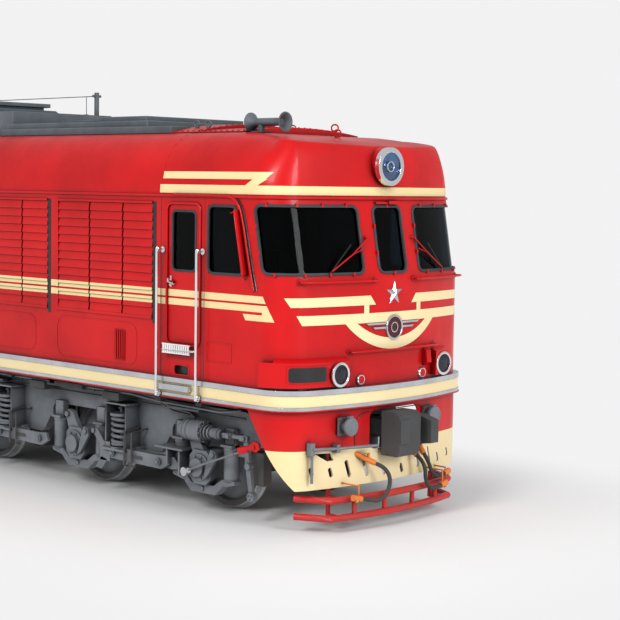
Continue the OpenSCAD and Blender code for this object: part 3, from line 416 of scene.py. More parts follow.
MAT = {
    "body": body_paint(),
    "red": enamel("plain red", RED, RED_DARK).mat,
    "cream": enamel("trim cream", CREAM, (0.82, 0.68, 0.40), rough=0.3, coat=0.3).mat,
    "silver": satin("polished steel", (0.62, 0.64, 0.67), (0.50, 0.52, 0.55), rough=0.26, metal=1.0, dusty=0.1),
    "chrome": satin("chrome", (0.85, 0.86, 0.88), (0.75, 0.77, 0.80), rough=0.1, metal=1.0, dusty=0.0, bump=0.02),
    # the running gear and roof grey get painted shade in their corners
    "gear": satin("running gear grey", (0.17, 0.185, 0.205), (0.115, 0.128, 0.145), rough=0.45, dusty=0.12, painted_shade=0.9),
    "roof": satin("roof grey", (0.115, 0.135, 0.155), (0.085, 0.10, 0.118), rough=0.5, dusty=0.0, painted_shade=0.7),
    "dark": satin("dark steel", (0.035, 0.038, 0.043), (0.02, 0.022, 0.026), rough=0.6),
    "tyre": satin("worn wheel steel", (0.46, 0.47, 0.49), (0.34, 0.35, 0.37), rough=0.35, metal=0.35, dusty=0.1),
    "rubber": satin("black rubber", (0.012, 0.012, 0.013), (0.02, 0.02, 0.021), rough=0.7, dusty=0.3),
    "gasket": satin("window rubber", (0.028, 0.035, 0.042), (0.02, 0.025, 0.03), rough=0.6, dusty=0.0),
    "orange": enamel("valve orange", (0.80, 0.22, 0.02), (0.65, 0.16, 0.015), rough=0.35, coat=0.2).mat,
    "inside": satin("cab paint", (0.30, 0.31, 0.26), (0.24, 0.25, 0.21), rough=0.5, dusty=0.0),
    "leather": satin("seat leather", (0.03, 0.025, 0.022), (0.02, 0.017, 0.015), rough=0.45, dusty=0.0, grain=90.0),
    "pane": glass("window glass", (0.05, 0.075, 0.10)),
    "black": satin("black enamel", (0.008, 0.008, 0.009), (0.012, 0.012, 0.013), rough=0.3, dusty=0.1),
    "white": satin("white enamel", (0.80, 0.80, 0.78), (0.70, 0.70, 0.68), rough=0.4, dusty=0.1),
}


# ---------------------------------------------------------------- shapes for the added detail
class Shape:
    """Several closed shapes in one bmesh."""

    def __init__(self):
        self.bm = bmesh.new()

    def add(self, verts, faces):
        made = [self.bm.verts.new(v) for v in verts]
        for f in faces:
            self.bm.faces.new([made[i] for i in f])
        return self

    def box(self, a, b, spin=None, about=None):
        """A box between two corners, turned by a matrix about a point."""
        (x0, y0, z0), (x1, y1, z1) = a, b
        pts = [Vector(p) for p in ((x0, y0, z0), (x1, y0, z0), (x1, y1, z0), (x0, y1, z0),
                                   (x0, y0, z1), (x1, y0, z1), (x1, y1, z1), (x0, y1, z1))]
        if spin is not None:
            c = Vector(about) if about is not None else (Vector(a) + Vector(b)) / 2
            pts = [spin @ (p - c) + c for p in pts]
        return self.add(pts, ((3, 2, 1, 0), (4, 5, 6, 7), (0, 1, 5, 4), (1, 2, 6, 5), (2, 3, 7, 6), (3, 0, 4, 7)))

    def prism(self, outline, a, b, axis="y"):
        """An outline extruded from a to b along an axis. Outline points are (x, z), (x, y) or (y, z)."""
        def at(p, t):
            return {"y": (p[0], t, p[1]), "z": (p[0], p[1], t), "x": (t, p[0], p[1])}[axis]
        n = len(outline)
        verts = [at(p, a) for p in outline] + [at(p, b) for p in outline]
        faces = [tuple(range(n))[::-1], tuple(range(n, 2 * n))]
        faces += [(i, (i + 1) % n, n + (i + 1) % n, n + i) for i in range(n)]
        return self.add(verts, faces)

    def lathe(self, profile, origin, axis, sides=48):
        """A closed profile of (distance along the axis, radius) turned about an axis."""
        axis = Vector(axis).normalized()
        u = axis.orthogonal().normalized()
        v = axis.cross(u)
        origin = Vector(origin)
        rings, verts, faces = [], [], []
        for t, r in profile:
            if r < 1e-6:
                rings.append([len(verts)])
                verts.append(origin + axis * t)
            else:
                rings.append(list(range(len(verts), len(verts) + sides)))
                verts += [origin + axis * t + (u * math.cos(a) + v * math.sin(a)) * r
                          for a in (2 * math.pi * k / sides for k in range(sides))]
        closed = len(rings[0]) > 1
        pairs = list(zip(rings, rings[1:])) + ([(rings[-1], rings[0])] if closed else [])
        for a, b in pairs:
            for k in range(sides):
                m = (k + 1) % sides
                quad = [a[k % len(a)], a[m % len(a)], b[m % len(b)], b[k % len(b)]]
                quad = [q for i, q in enumerate(quad) if q not in quad[:i]]
                if len(quad) > 2:
                    faces.append(tuple(quad))
        return self.add(verts, faces)

    def rod(self, a, b, r, sides=20):
        a, b = Vector(a), Vector(b)
        n = (b - a).length
        return self.lathe([(0, 0), (0, r), (n, r), (n, 0)], a, b - a, sides)

    def tube(self, points, r, sides=12):
        """A tube of constant radius along a line of points."""
        pts = [Vector(p) for p in points]
        verts, faces = [], []
        ref = None
        for i, p in enumerate(pts):
            t = (pts[min(i + 1, len(pts) - 1)] - pts[max(i - 1, 0)]).normalized()
            ref = t.orthogonal().normalized() if ref is None else (ref - t * ref.dot(t)).normalized()
            side = t.cross(ref)
            verts += [p + (ref * math.cos(a) + side * math.sin(a)) * r
                      for a in (2 * math.pi * k / sides for k in range(sides))]
        n = len(pts)
        for i in range(n - 1):
            for k in range(sides):
                m = (k + 1) % sides
                faces.append((i * sides + k, i * sides + m, (i + 1) * sides + m, (i + 1) * sides + k))
        faces.append(tuple(range(sides))[::-1])
        faces.append(tuple((n - 1) * sides + k for k in range(sides)))
        return self.add(verts, faces)

    def coil(self, x, y, z0, z1, r, wire, turns, per_turn=20):
        """A coil spring standing upright, its last turns flat."""
        steps = int(turns * per_turn)
        pts = []
        for i in range(steps + 1):
            t = i / steps
            rise = min(1.0, max(0.0, (t * turns - 0.75) / (turns - 1.5)))
            a = 2 * math.pi * turns * t
            pts.append((x + r * math.cos(a), y + r * math.sin(a), z0 + wire + (z1 - z0 - 2 * wire) * rise))
        return self.tube(pts, wire, 8)

    def mirrored(self):
        """Adds the same shapes on the other side of the body."""
        geom = bmesh.ops.duplicate(self.bm, geom=self.bm.verts[:] + self.bm.edges[:] + self.bm.faces[:])["geom"]
        for v in geom:
            if isinstance(v, bmesh.types.BMVert):
                v.co.y = -v.co.y
        bmesh.ops.reverse_faces(self.bm, faces=[f for f in geom if isinstance(f, bmesh.types.BMFace)])
        return self

    def both_ends(self):
        """Adds the same shapes turned half round to the other end."""
        geom = bmesh.ops.duplicate(self.bm, geom=self.bm.verts[:] + self.bm.edges[:] + self.bm.faces[:])["geom"]
        for v in geom:
            if isinstance(v, bmesh.types.BMVert):
                v.co.x, v.co.y = -v.co.x, -v.co.y
        return self

    def piece(self, name, material, slot, body="car_body", edge=0.0, angle=35, segments=2):
        bmesh.ops.recalc_face_normals(self.bm, faces=self.bm.faces)
        smooth_by_angle(self.bm, angle)
        obj = new_piece(name, self.bm, body, material)
        if edge:
            bevel = obj.modifiers.new("edges", "BEVEL")
            bevel.width = edge
            bevel.segments = segments
            bevel.limit_method = "ANGLE"
            bevel.angle_limit = math.radians(angle)
            weigh = obj.modifiers.new("normals", "WEIGHTED_NORMAL")
            weigh.keep_sharp = True
            flatten(obj)
        return obj


def laid_on_face(shape, outlines, off=PAINT, thick=0.0012, step=0.06):
    """Flat outlines of (y, z) laid on the curved end face as thin closed sheets."""
    for outline in outlines:
        bm = bmesh.new()
        bm.faces.new([bm.verts.new((0.0, y, up(z))) for y, z in outline])
        bmesh.ops.triangulate(bm, faces=bm.faces)
        ys = [y for y, z in outline]
        zs = [up(z) for y, z in outline]
        cuts = [("y", min(ys) + step * k) for k in range(1, int((max(ys) - min(ys)) / step) + 1)]
        cuts += [("z", CREASE)] if min(zs) < CREASE < max(zs) else []
        for kind, t in cuts:
            co, no = ((0, t, 0), (0, 1, 0)) if kind == "y" else ((0, 0, t), (0, 0, 1))
            bmesh.ops.bisect_plane(bm, geom=bm.verts[:] + bm.edges[:] + bm.faces[:], plane_co=co, plane_no=no)
        bmesh.ops.remove_doubles(bm, verts=bm.verts, dist=0.0002)
        bm.normal_update()
        if sum(f.normal.x for f in bm.faces) < 0:
            bmesh.ops.reverse_faces(bm, faces=bm.faces)
        index = {v: i for i, v in enumerate(bm.verts)}
        n = len(index)
        outer, inner = [], []
        for v in bm.verts:
            x = face_x(v.co.y, v.co.z)
            d = face_normal(v.co.y)
            base = Vector((x, v.co.y, v.co.z))
            outer.append(base + d * (off + thick))
            inner.append(base + d * off)
        faces = []
        for f in bm.faces:
            ids = [index[v] for v in f.verts]
            faces.append(tuple(ids))
            faces.append(tuple(i + n for i in reversed(ids)))
        for e in bm.edges:
            if len(e.link_faces) == 1:
                loop = e.link_loops[0]
                a, b = index[loop.vert], index[loop.link_loop_next.vert]
                faces.append((b, a, a + n, b + n))
        shape.add(outer + inner, faces)
        bm.free()
    return shape


def arc(cy, cz, r, a0, a1, steps):
    """Points on a circle, angles in degrees from +y towards +z."""
    return [(cy + r * math.cos(math.radians(a0 + (a1 - a0) * k / steps)),
             cz + r * math.sin(math.radians(a0 + (a1 - a0) * k / steps))) for k in range(steps + 1)]


def scatter(name, points, part, body, material, turns=None):
    """Copies of one small part at many points, each turned about the vertical, as one plain mesh."""
    tree = bpy.data.node_groups.new("copies at points", "GeometryNodeTree")
    tree.interface.new_socket(name="Geometry", in_out="INPUT", socket_type="NodeSocketGeometry")
    tree.interface.new_socket(name="Part", in_out="INPUT", socket_type="NodeSocketObject")
    tree.interface.new_socket(name="Finish", in_out="INPUT", socket_type="NodeSocketMaterial")
    tree.interface.new_socket(name="Geometry", in_out="OUTPUT", socket_type="NodeSocketGeometry")
    gi, go = tree.nodes.new("NodeGroupInput"), tree.nodes.new("NodeGroupOutput")
    info = tree.nodes.new("GeometryNodeObjectInfo")
    turn = tree.nodes.new("GeometryNodeInputNamedAttribute")
    turn.data_type = "FLOAT_VECTOR"
    turn.inputs["Name"].default_value = "turn"
    put = tree.nodes.new("GeometryNodeInstanceOnPoints")
    real = tree.nodes.new("GeometryNodeRealizeInstances")
    paint = tree.nodes.new("GeometryNodeSetMaterial")
    link = tree.links.new
    link(gi.outputs["Geometry"], put.inputs["Points"])
    link(gi.outputs["Part"], info.inputs["Object"])
    link(info.outputs["Geometry"], put.inputs["Instance"])
    link(turn.outputs["Attribute"], put.inputs["Rotation"])
    link(put.outputs["Instances"], real.inputs["Geometry"])
    link(real.outputs["Geometry"], paint.inputs["Geometry"])
    link(gi.outputs["Finish"], paint.inputs["Material"])
    link(paint.outputs["Geometry"], go.inputs["Geometry"])
    mesh = bpy.data.meshes.new(name)
    mesh.from_pydata([tuple(p) for p in points], [], [])
    values = mesh.attributes.new("turn", "FLOAT_VECTOR", "POINT")
    for i, t in enumerate(turns or [0.0] * len(points)):
        values.data[i].vector = (0.0, 0.0, t)
    obj = bpy.data.objects.new(name, mesh)
    bpy.context.scene.collection.objects.link(obj)
    seed_mesh = bpy.data.meshes.new(name + "_part")
    bmesh.ops.recalc_face_normals(part.bm, faces=part.bm.faces)
    smooth_by_angle(part.bm, 40)
    part.bm.to_mesh(seed_mesh)
    part.bm.free()
    seed = bpy.data.objects.new(name + "_part", seed_mesh)
    bpy.context.scene.collection.objects.link(seed)
    mod = obj.modifiers.new("copies", "NODES")
    mod.node_group = tree
    for item in tree.interface.items_tree:
        if item.in_out == "INPUT" and item.name == "Part":
            mod[item.identifier] = seed
        if item.in_out == "INPUT" and item.name == "Finish":
            mod[item.identifier] = material
    flatten(obj)
    bpy.data.objects.remove(seed)
    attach(obj, body)
    return obj


# ---------------------------------------------------------------- air hoses
HOSE_D = 0.046
# Lines of the three front hoses, in metres above the rail: x forward, y left, z up. The rear ones are turned half
# round.
ROUTES = {
    "long_hose": [
        (9.4000, -0.4240, 0.7150), (9.4198, -0.4054, 0.7024), (9.4397, -0.3867, 0.6898), (9.4609, -0.3665, 0.6729),
        (9.4792, -0.3483, 0.6510), (9.4941, -0.3326, 0.6250), (9.5051, -0.3200, 0.5956), (9.5118, -0.3109, 0.5637),
        (9.5141, -0.3056, 0.5304), (9.5138, -0.3054, 0.4950), (9.5130, -0.3117, 0.4601), (9.5117, -0.3244, 0.4271),
        (9.5100, -0.3429, 0.3970), (9.5078, -0.3667, 0.3708), (9.5053, -0.3950, 0.3496), (9.5026, -0.4266, 0.3340),
        (9.4998, -0.4607, 0.3245), (9.4969, -0.4958, 0.3216), (9.4940, -0.5310, 0.3252), (9.4912, -0.5660, 0.3322),
        (9.4884, -0.6010, 0.3392), (9.4856, -0.6360, 0.3463), (9.4828, -0.6711, 0.3533), (9.4800, -0.7061, 0.3603),
        (9.4772, -0.7411, 0.3673)],
    "feed_hose": [
        (9.3960, 0.3000, 0.7220), (9.4359, 0.3040, 0.6921), (9.4618, 0.3068, 0.6686), (9.4829, 0.3097, 0.6407),
        (9.4986, 0.3124, 0.6094), (9.5082, 0.3149, 0.5758), (9.5114, 0.3172, 0.5409), (9.5114, 0.3190, 0.5109),
        (9.5111, 0.3238, 0.4784), (9.5103, 0.3341, 0.4471), (9.5089, 0.3496, 0.4181), (9.5071, 0.3699, 0.3923),
        (9.5048, 0.3943, 0.3703), (9.5021, 0.4221, 0.3529), (9.4991, 0.4525, 0.3406), (9.4960, 0.4845, 0.3337),
        (9.4927, 0.5172, 0.3325), (9.4892, 0.5520, 0.3342), (9.4858, 0.5868, 0.3360), (9.4847, 0.5972, 0.3367),
        (9.4835, 0.6076, 0.3380), (9.4799, 0.6370, 0.3425)],
    "main_hose": [
        (9.3500, 0.4820, 0.7160), (9.3799, 0.4850, 0.6761), (9.3980, 0.4886, 0.6477), (9.4114, 0.4954, 0.6174),
        (9.4196, 0.5051, 0.5860), (9.4223, 0.5175, 0.5546), (9.4219, 0.5333, 0.5254), (9.4204, 0.5539, 0.4994),
        (9.4181, 0.5786, 0.4773), (9.4149, 0.6067, 0.4599), (9.4109, 0.6373, 0.4477), (9.4063, 0.6695, 0.4410),
        (9.4013, 0.7023, 0.4401), (9.3966, 0.7319, 0.4418), (9.3918, 0.7615, 0.4436), (9.3871, 0.7910, 0.4454),
        (9.3854, 0.8007, 0.4462), (9.3836, 0.8103, 0.4475)],
}


def hoses():
    """Six rubber air hoses, each from its cock on the pilot to the head that hooks up beside it."""
    heads = NODES["hose_heads"]
    heads.data.materials.clear()
    heads.data.materials.append(MAT["orange"])
    for name, line in ROUTES.items():
        for end, turn in (("front", 1), ("rear", -1)):
            path = [Vector((turn * x, turn * y, up(z))) for x, y, z in line]
            hose = Shape()
            hose.tube(path, HOSE_D / 2, 24)
            obj = hose.piece(end + "_" + name + "_rubber", MAT["rubber"], "hose_rubber", angle=60)
            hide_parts(end + "_" + name)


hoses()


# ---------------------------------------------------------------- CAD nodes and their finishes
FINISH = {
    # node: (body, material, slot, edge radius)
    "underframe": ("car_body", "dark", "dark_steel", 0.004),
    "front_cab": ("car_body", "body", "body_red", 0.004),
    "rear_cab": ("car_body", "body", "body_red", 0.004),
    "cab_roofs": ("car_body", "body", "body_red", 0.0),
    "right_side_wall": ("car_body", "body", "body_red", 0.003),
    "left_side_wall": ("car_body", "body", "body_red", 0.003),
    "roof": ("car_body", "body", "body_red", 0.0),
    "cab_glass": ("car_body", "pane", "window_glass", 0.0),
    "cab_interiors": ("car_body", "inside", "interior_paint", 0.003),
    "seats": ("car_body", "leather", "seat_leather", 0.03),
    "belt": ("car_body", "cream", "trim_cream", 0.003),
    "gutter": ("car_body", "body", "body_red", 0.004),
    "roof_hatches": ("car_body", "roof", "roof_grey", 0.008),
    "cab_hatches": ("car_body", "red", "body_red", 0.004),
    "headlights": ("car_body", "red", "body_red", 0.002),
    "buffer_lights": ("car_body", "red", "body_red", 0.004),
    "horns": ("car_body", "roof", "roof_grey", 0.002),
    "antenna": ("car_body", "roof", "roof_grey", 0.001),
    "aprons": ("car_body", "red", "body_red", 0.002),
    "pilots": ("car_body", "cream", "trim_cream", 0.002),
    "guard_pipes": ("car_body", "red", "body_red", 0.002),
    "handrails": ("car_body", "chrome", "bright_metal", 0.0),
    "steps": ("car_body", "silver", "bright_metal", 0.002),
    "fuel_tank": ("car_body", "gear", "running_gear_grey", 0.01),
    "air_reservoirs": ("car_body", "gear", "running_gear_grey", 0.01),
    "engine": ("car_body", "gear", "running_gear_grey", 0.01),
    "jumper_sockets": ("car_body", "gear", "running_gear_grey", 0.004),
    "uncoupling_levers": ("car_body", "gear", "running_gear_grey", 0.002),
    "hose_cocks": ("car_body", "orange", "valve_orange", 0.003),
    "front_coupler": ("front_coupler", "dark", "dark_steel", 0.008),
    "rear_coupler": ("rear_coupler", "dark", "dark_steel", 0.008),
}
for door in ("right_front_door", "left_front_door", "right_rear_door", "left_rear_door"):
    FINISH[door] = (door, "body", "body_red", 0.003)
for end in ("front", "rear"):
    body = end + "_bogie"
    FINISH[end + "_bogie_frame"] = (body, "gear", "running_gear_grey", 0.006)
    FINISH[end + "_axle_boxes"] = (body, "gear", "running_gear_grey", 0.006)
    FINISH[end + "_springs"] = (body, "gear", "running_gear_grey", 0.003)
    FINISH[end + "_brake_gear"] = (body, "gear", "running_gear_grey", 0.004)
    FINISH[end + "_motors"] = (body, "dark", "dark_steel", 0.008)
for number in range(1, 7):
    FINISH["wheelset_%d" % number] = ("wheelset_%d" % number, "tyre", "wheel_steel", 0.002)

made = {}
for node, (body, material, slot, edge) in FINISH.items():
    made[node] = refined(node, body, MAT[material], edge)


def paint_faces(obj, material, rule):
    """Gives a second material to the faces whose middle and normal pass a rule."""
    obj.data.materials.append(material)
    slot_number = len(obj.data.materials) - 1
    for p in obj.data.polygons:
        if rule(p.center, p.normal):
            p.material_index = slot_number


def belt_bands():
    """Ribbed steel edges above and below the cream band, and a red lip underneath."""
    belt = made["belt"]
    paint_faces(belt, MAT["silver"], lambda c, n: up(1.515) - 0.001 < c.z or up(1.3525) < c.z < up(1.388) + 0.001)
    paint_faces(belt, MAT["red"], lambda c, n: c.z < up(1.3525))


belt_bands()
paint_faces(made["headlights"], MAT["chrome"], lambda c, n: abs(c.x) > 9.152)
paint_faces(made["buffer_lights"], MAT["chrome"], lambda c, n: abs(c.x) > 9.2925 and abs(abs(c.y) - 0.893) < 0.14)


# ---------------------------------------------------------------- painted signs on the end faces
def wings():
    """Cream wings on each side of the star, the long bar below them and the half ring under its middle."""
    shape = Shape()
    for s in (-1, 1):
        laid_on_face(shape, [[(s * y, z) for y, z in (
            (1.464, 2.567), (0.390, 2.572), (0.305, 2.467), (1.415, 2.465))]])
        laid_on_face(shape, [[(s * y, z) for y, z in (
            (0.487, 2.4655), (0.410, 2.4655), (0.410, 2.3765), (0.487, 2.3765))]])
        laid_on_face(shape, [[(s * y, z) for y, z in (
            (1.365, 2.376), (0.585, 2.376), (0.585, 2.268), (1.310, 2.268))]])
        outer = [(y, z) for y, z in arc(0.0, 3.028, 1.070, -90, -45.2, 14)]
        inner = [(y, z) for y, z in arc(0.0, 3.111, 1.026, -90, -55.3, 14)]
        half = outer + [(0.752, 2.268), (0.585, 2.268)] + inner[::-1]
        clean = []
        for p in half:
            if not clean or abs(p[0] - clean[-1][0]) + abs(p[1] - clean[-1][1]) > 0.004:
                clean.append(p)
        laid_on_face(shape, [[(s * y, z) for y, z in clean]])
    laid_on_face(shape, [[(-0.5852, 2.268), (0.5852, 2.268), (0.5852, 2.376), (-0.5852, 2.376)]])
    shape.both_ends()
    shape.piece("front_and_rear_wings", MAT["cream"], "trim_cream", angle=20)


def star_and_badge():
    """A raised five-pointed star over a blank round badge with two bars at each side."""
    star, ring, disc = Shape(), Shape(), Shape()
    cy, cz, ro, ri = 0.0, 2.583, 0.140, 0.056
    tips = [(cy + (ro if k % 2 == 0 else ri) * math.sin(math.pi * k / 5),
             cz + (ro if k % 2 == 0 else ri) * math.cos(math.pi * k / 5)) for k in range(10)]
    verts = [(face_x(y, up(z)) + 0.001, y, up(z)) for y, z in tips]
    verts += [(face_x(cy, up(cz)) + 0.034, cy, up(cz)), (face_x(cy, up(cz)) + 0.001, cy, up(cz))]
    faces = [(k, (k + 1) % 10, 10) for k in range(10)] + [((k + 1) % 10, k, 11) for k in range(10)]
    star.add(verts, faces)
    x = face_x(0.0, up(2.2))
    ring.lathe([(0.001, 0.143), (0.016, 0.139), (0.018, 0.128), (0.014, 0.119), (0.001, 0.117)], (x, 0, up(2.201)),
               (1, 0, 0), 64)
    disc.lathe([(0.0005, 0), (0.0005, 0.118), (0.009, 0.118), (0.009, 0)], (x, 0, up(2.201)), (1, 0, 0), 64)
    ring.lathe([(0.009, 0.060), (0.013, 0.060), (0.013, 0.048), (0.009, 0.048)], (x, 0, up(2.201)), (1, 0, 0), 48)
    for s in (-1, 1):
        laid_on_face(ring, [[(s * y, z) for y, z in ((0.135, 2.262), (0.455, 2.262), (0.425, 2.240), (0.140, 2.240))]],
                     0.001, 0.010)
        laid_on_face(ring, [[(s * y, z) for y, z in ((0.146, 2.213), (0.350, 2.213), (0.325, 2.191), (0.143, 2.191))]],
                     0.001, 0.010)
    star.both_ends().piece("stars", MAT["silver"], "bright_metal", angle=8)
    ring.both_ends().piece("badge_rings_and_bars", MAT["silver"], "bright_metal", angle=30)
    disc.both_ends().piece("badge_discs", MAT["badge"], "body_red", angle=30)


def number_plates():
    """Blank dark plates in red frames on the lamp boxes."""
    frames, plates = Shape(), Shape()
    for shape, grow, off in ((frames, 0.012, 0.0755), (plates, 0.0, 0.0785)):
        y0, y1, z0, z1, r = 1.055 - grow, 1.425 + grow, 1.664 - grow, 1.824 + grow, 0.028
        outline = []
        for qy, qz, a in ((y1 - r, z1 - r, 0), (y0 + r, z1 - r, 90), (y0 + r, z0 + r, 180), (y1 - r, z0 + r, 270)):
            outline += arc(qy, qz, r, a, a + 90, 4)
        bm = Shape()
        laid_on_face(bm, [[(-y, z) for y, z in outline]], 0.0, 0.004, 0.03)
        for v in bm.bm.verts:
            v.co += face_normal(v.co.y) * off
        mesh = bpy.data.meshes.new("tmp")
        bm.bm.to_mesh(mesh)
        shape.bm.from_mesh(mesh)
        bpy.data.meshes.remove(mesh)
        bm.bm.free()
    frames.both_ends().piece("number_plate_frames", MAT["red"], "body_red", angle=30)
    plates.both_ends().piece("blank_number_plates", MAT["black"], "body_red", angle=30)


# ---------------------------------------------------------------- windows of the cabs
def rounded_outline(x0, x1, z0, z1, r, n=8):
    out = []
    for qx, qz, a in ((x1 - r, z1 - r, 0), (x0 + r, z1 - r, 90), (x0 + r, z0 + r, 180), (x1 - r, z0 + r, 270)):
        out += arc(qx, qz, r, a, a + 90, n)
    return out


def dense(outline, step=0.05):
    """The same outline with points at most a step apart."""
    out = []
    for i, p in enumerate(outline):
        q = outline[(i + 1) % len(outline)]
        n = max(1, math.ceil(math.dist(p, q) / step))
        out += [(p[0] + (q[0] - p[0]) * k / n, p[1] + (q[1] - p[1]) * k / n) for k in range(n)]
    return out


SCREEN_IN, SCREEN_BACK, SCREEN_LOW, SCREEN_HIGH, CENTRE_HALF = 0.470, 0.539, 2.818, 3.556, 0.238


def round_path(u, z):
    """Place and outward normal on the end face, u metres along it from the centreline in plan."""
    flat = BOW_R * CORNER_A
    s = abs(u)
    if s < flat:
        t = s / BOW_R
        x, y = BOW_R * math.cos(t) - BOW_R, BOW_R * math.sin(t)
    else:
        t = CORNER_A + min((s - flat) / CORNER_R, math.pi / 2 - CORNER_A)
        x = CORNER_DX - BOW_R + CORNER_R * math.cos(t)
        y = CORNER_Y + CORNER_R * math.sin(t)
        x -= max(0.0, s - flat - CORNER_R * (math.pi / 2 - CORNER_A))
    d = Vector((math.cos(t), math.copysign(math.sin(t), u), 0.0))
    return Vector((nose_at(z) + x, math.copysign(y, u), z)), d


FULL_U = BOW_R * CORNER_A + CORNER_R * (math.pi / 2 - CORNER_A)
SCREEN_END_U = FULL_U + SCREEN_BACK - (BOW_R - CORNER_DX)
SCREEN_IN_U = BOW_R * math.asin(SCREEN_IN / BOW_R)


def surround(shape, outline, wide, proud, place):
    """A raised rubber surround swept along an outline of (u, z) on a surface given by place."""
    pts = dense(outline)
    n = len(pts)
    cy = sum(p[0] for p in pts) / n
    cz = sum(p[1] for p in pts) / n
    verts, faces = [], []
    for i in range(n):
        a, b = Vector(pts[i - 1]), Vector(pts[(i + 1) % n])
        t = (b - a).normalized()
        out = Vector((t.y, -t.x))
        if out.dot(Vector(pts[i]) - Vector((cy, cz))) < 0:
            out = -out
        for w, h in ((-wide * 0.55, -0.012), (-wide * 0.55, proud * 0.7), (-wide * 0.2, proud), (wide * 0.2, proud),
                     (wide * 0.45, proud * 0.6), (wide * 0.45, -0.002)):
            q = Vector(pts[i]) + out * w
            p, d = place(q.x, up(q.y))
            verts.append(p + d * h)
    k = 6
    for i in range(n):
        j = (i + 1) % n
        for m in range(k):
            faces.append((i * k + m, i * k + (m + 1) % k, j * k + (m + 1) % k, j * k + m))
    return shape.add(verts, faces)


def side_place(sign):
    def place(x, z):
        return Vector((x, sign * HALF_W, z)), Vector((0, sign, 0))
    return place


SIDE_WINDOW = [(7.854, 2.788), (8.440, 2.788), (8.294, 3.540), (7.854, 3.540)]
DOOR_WINDOW = (7.252, 7.650, 2.793, 3.471)


def soften(outline, r, n=6):
    """Rounds the corners of a polygon."""
    out = []
    m = len(outline)
    for i in range(m):
        p, a, b = (Vector(outline[j % m]) for j in (i, i - 1, i + 1))
        u, v = (a - p).normalized(), (b - p).normalized()
        half = u.angle(v) / 2
        cut = r / math.tan(half)
        s, e = p + u * cut, p + v * cut
        c = p + (u + v).normalized() * (r / math.sin(half))
        a0 = math.atan2(s.y - c.y, s.x - c.x)
        a1 = math.atan2(e.y - c.y, e.x - c.x)
        while a1 - a0 > math.pi:
            a1 -= 2 * math.pi
        while a0 - a1 > math.pi:
            a1 += 2 * math.pi
        out += [(c.x + r * math.cos(a0 + (a1 - a0) * k / n), c.y + r * math.sin(a0 + (a1 - a0) * k / n))
                for k in range(n + 1)]
    return out


def screen_outlines():
    outer = rounded_outline(SCREEN_IN_U, SCREEN_END_U, SCREEN_LOW, SCREEN_HIGH, 0.08)
    return ([[(s * u, z) for u, z in outer] for s in (-1, 1)]
            + [rounded_outline(-CENTRE_HALF, CENTRE_HALF, SCREEN_LOW, SCREEN_HIGH, 0.08)])


def cab_windows():
    """Rubber surrounds of all cab windows, with small red clips on the front ones."""
    shape = Shape()
    clips, turns = [], []
    for outline in screen_outlines():
        surround(shape, outline, 0.030, 0.013, round_path)
        pts = dense(outline, 0.01)
        lo, hi = min(p[0] for p in pts), max(p[0] for p in pts)
        wide = hi - lo > 0.8
        marks = [lo + (hi - lo) * f for f in ((0.12, 0.37, 0.62, 0.87) if wide else (0.5,))]
        spots = [(u, z) for u in marks for z in (SCREEN_LOW - 0.006, SCREEN_HIGH + 0.006)]
        spots += [(u, SCREEN_LOW + f * (SCREEN_HIGH - SCREEN_LOW)) for u in (lo - 0.006, hi + 0.006) for f in (0.3,
                                                                                                               0.7)]
        for u, z in spots:
            p, d = round_path(u, up(z))
            clips.append(p + d * 0.008)
            turns.append(math.atan2(d.y, d.x))
    for s in (-1, 1):
        surround(shape, soften(SIDE_WINDOW, 0.075), 0.030, 0.012, side_place(s))
    shape.both_ends().piece("cab_window_rubbers", MAT["gasket"], "hose_rubber", angle=50)
    clips += [Vector((-p.x, -p.y, p.z)) for p in clips]
    turns += [t + math.pi for t in turns]
    part = Shape().box((-0.010, -0.011, -0.022), (0.012, 0.011, 0.022))
    scatter("window_clips", clips, part, "car_body", MAT["red"], turns)
    for end in (1, -1):
        for side in (-1, 1):
            name = "%s_%s_door" % ("right" if side * end < 0 else "left", "front" if end > 0 else "rear")
            rubber = Shape()
            x0, x1, z0, z1 = DOOR_WINDOW
            outline = [(end * x, z) for x, z in rounded_outline(x0, x1, z0, z1, 0.06)]

            def place(x, z, s=side):
                return Vector((x, s * (HALF_W - 0.005), z)), Vector((0, s, 0))
            surround(rubber, outline, 0.026, 0.010, place)
            rubber.piece(name + "_window_rubber", MAT["gasket"], "hose_rubber", body=name, angle=50)


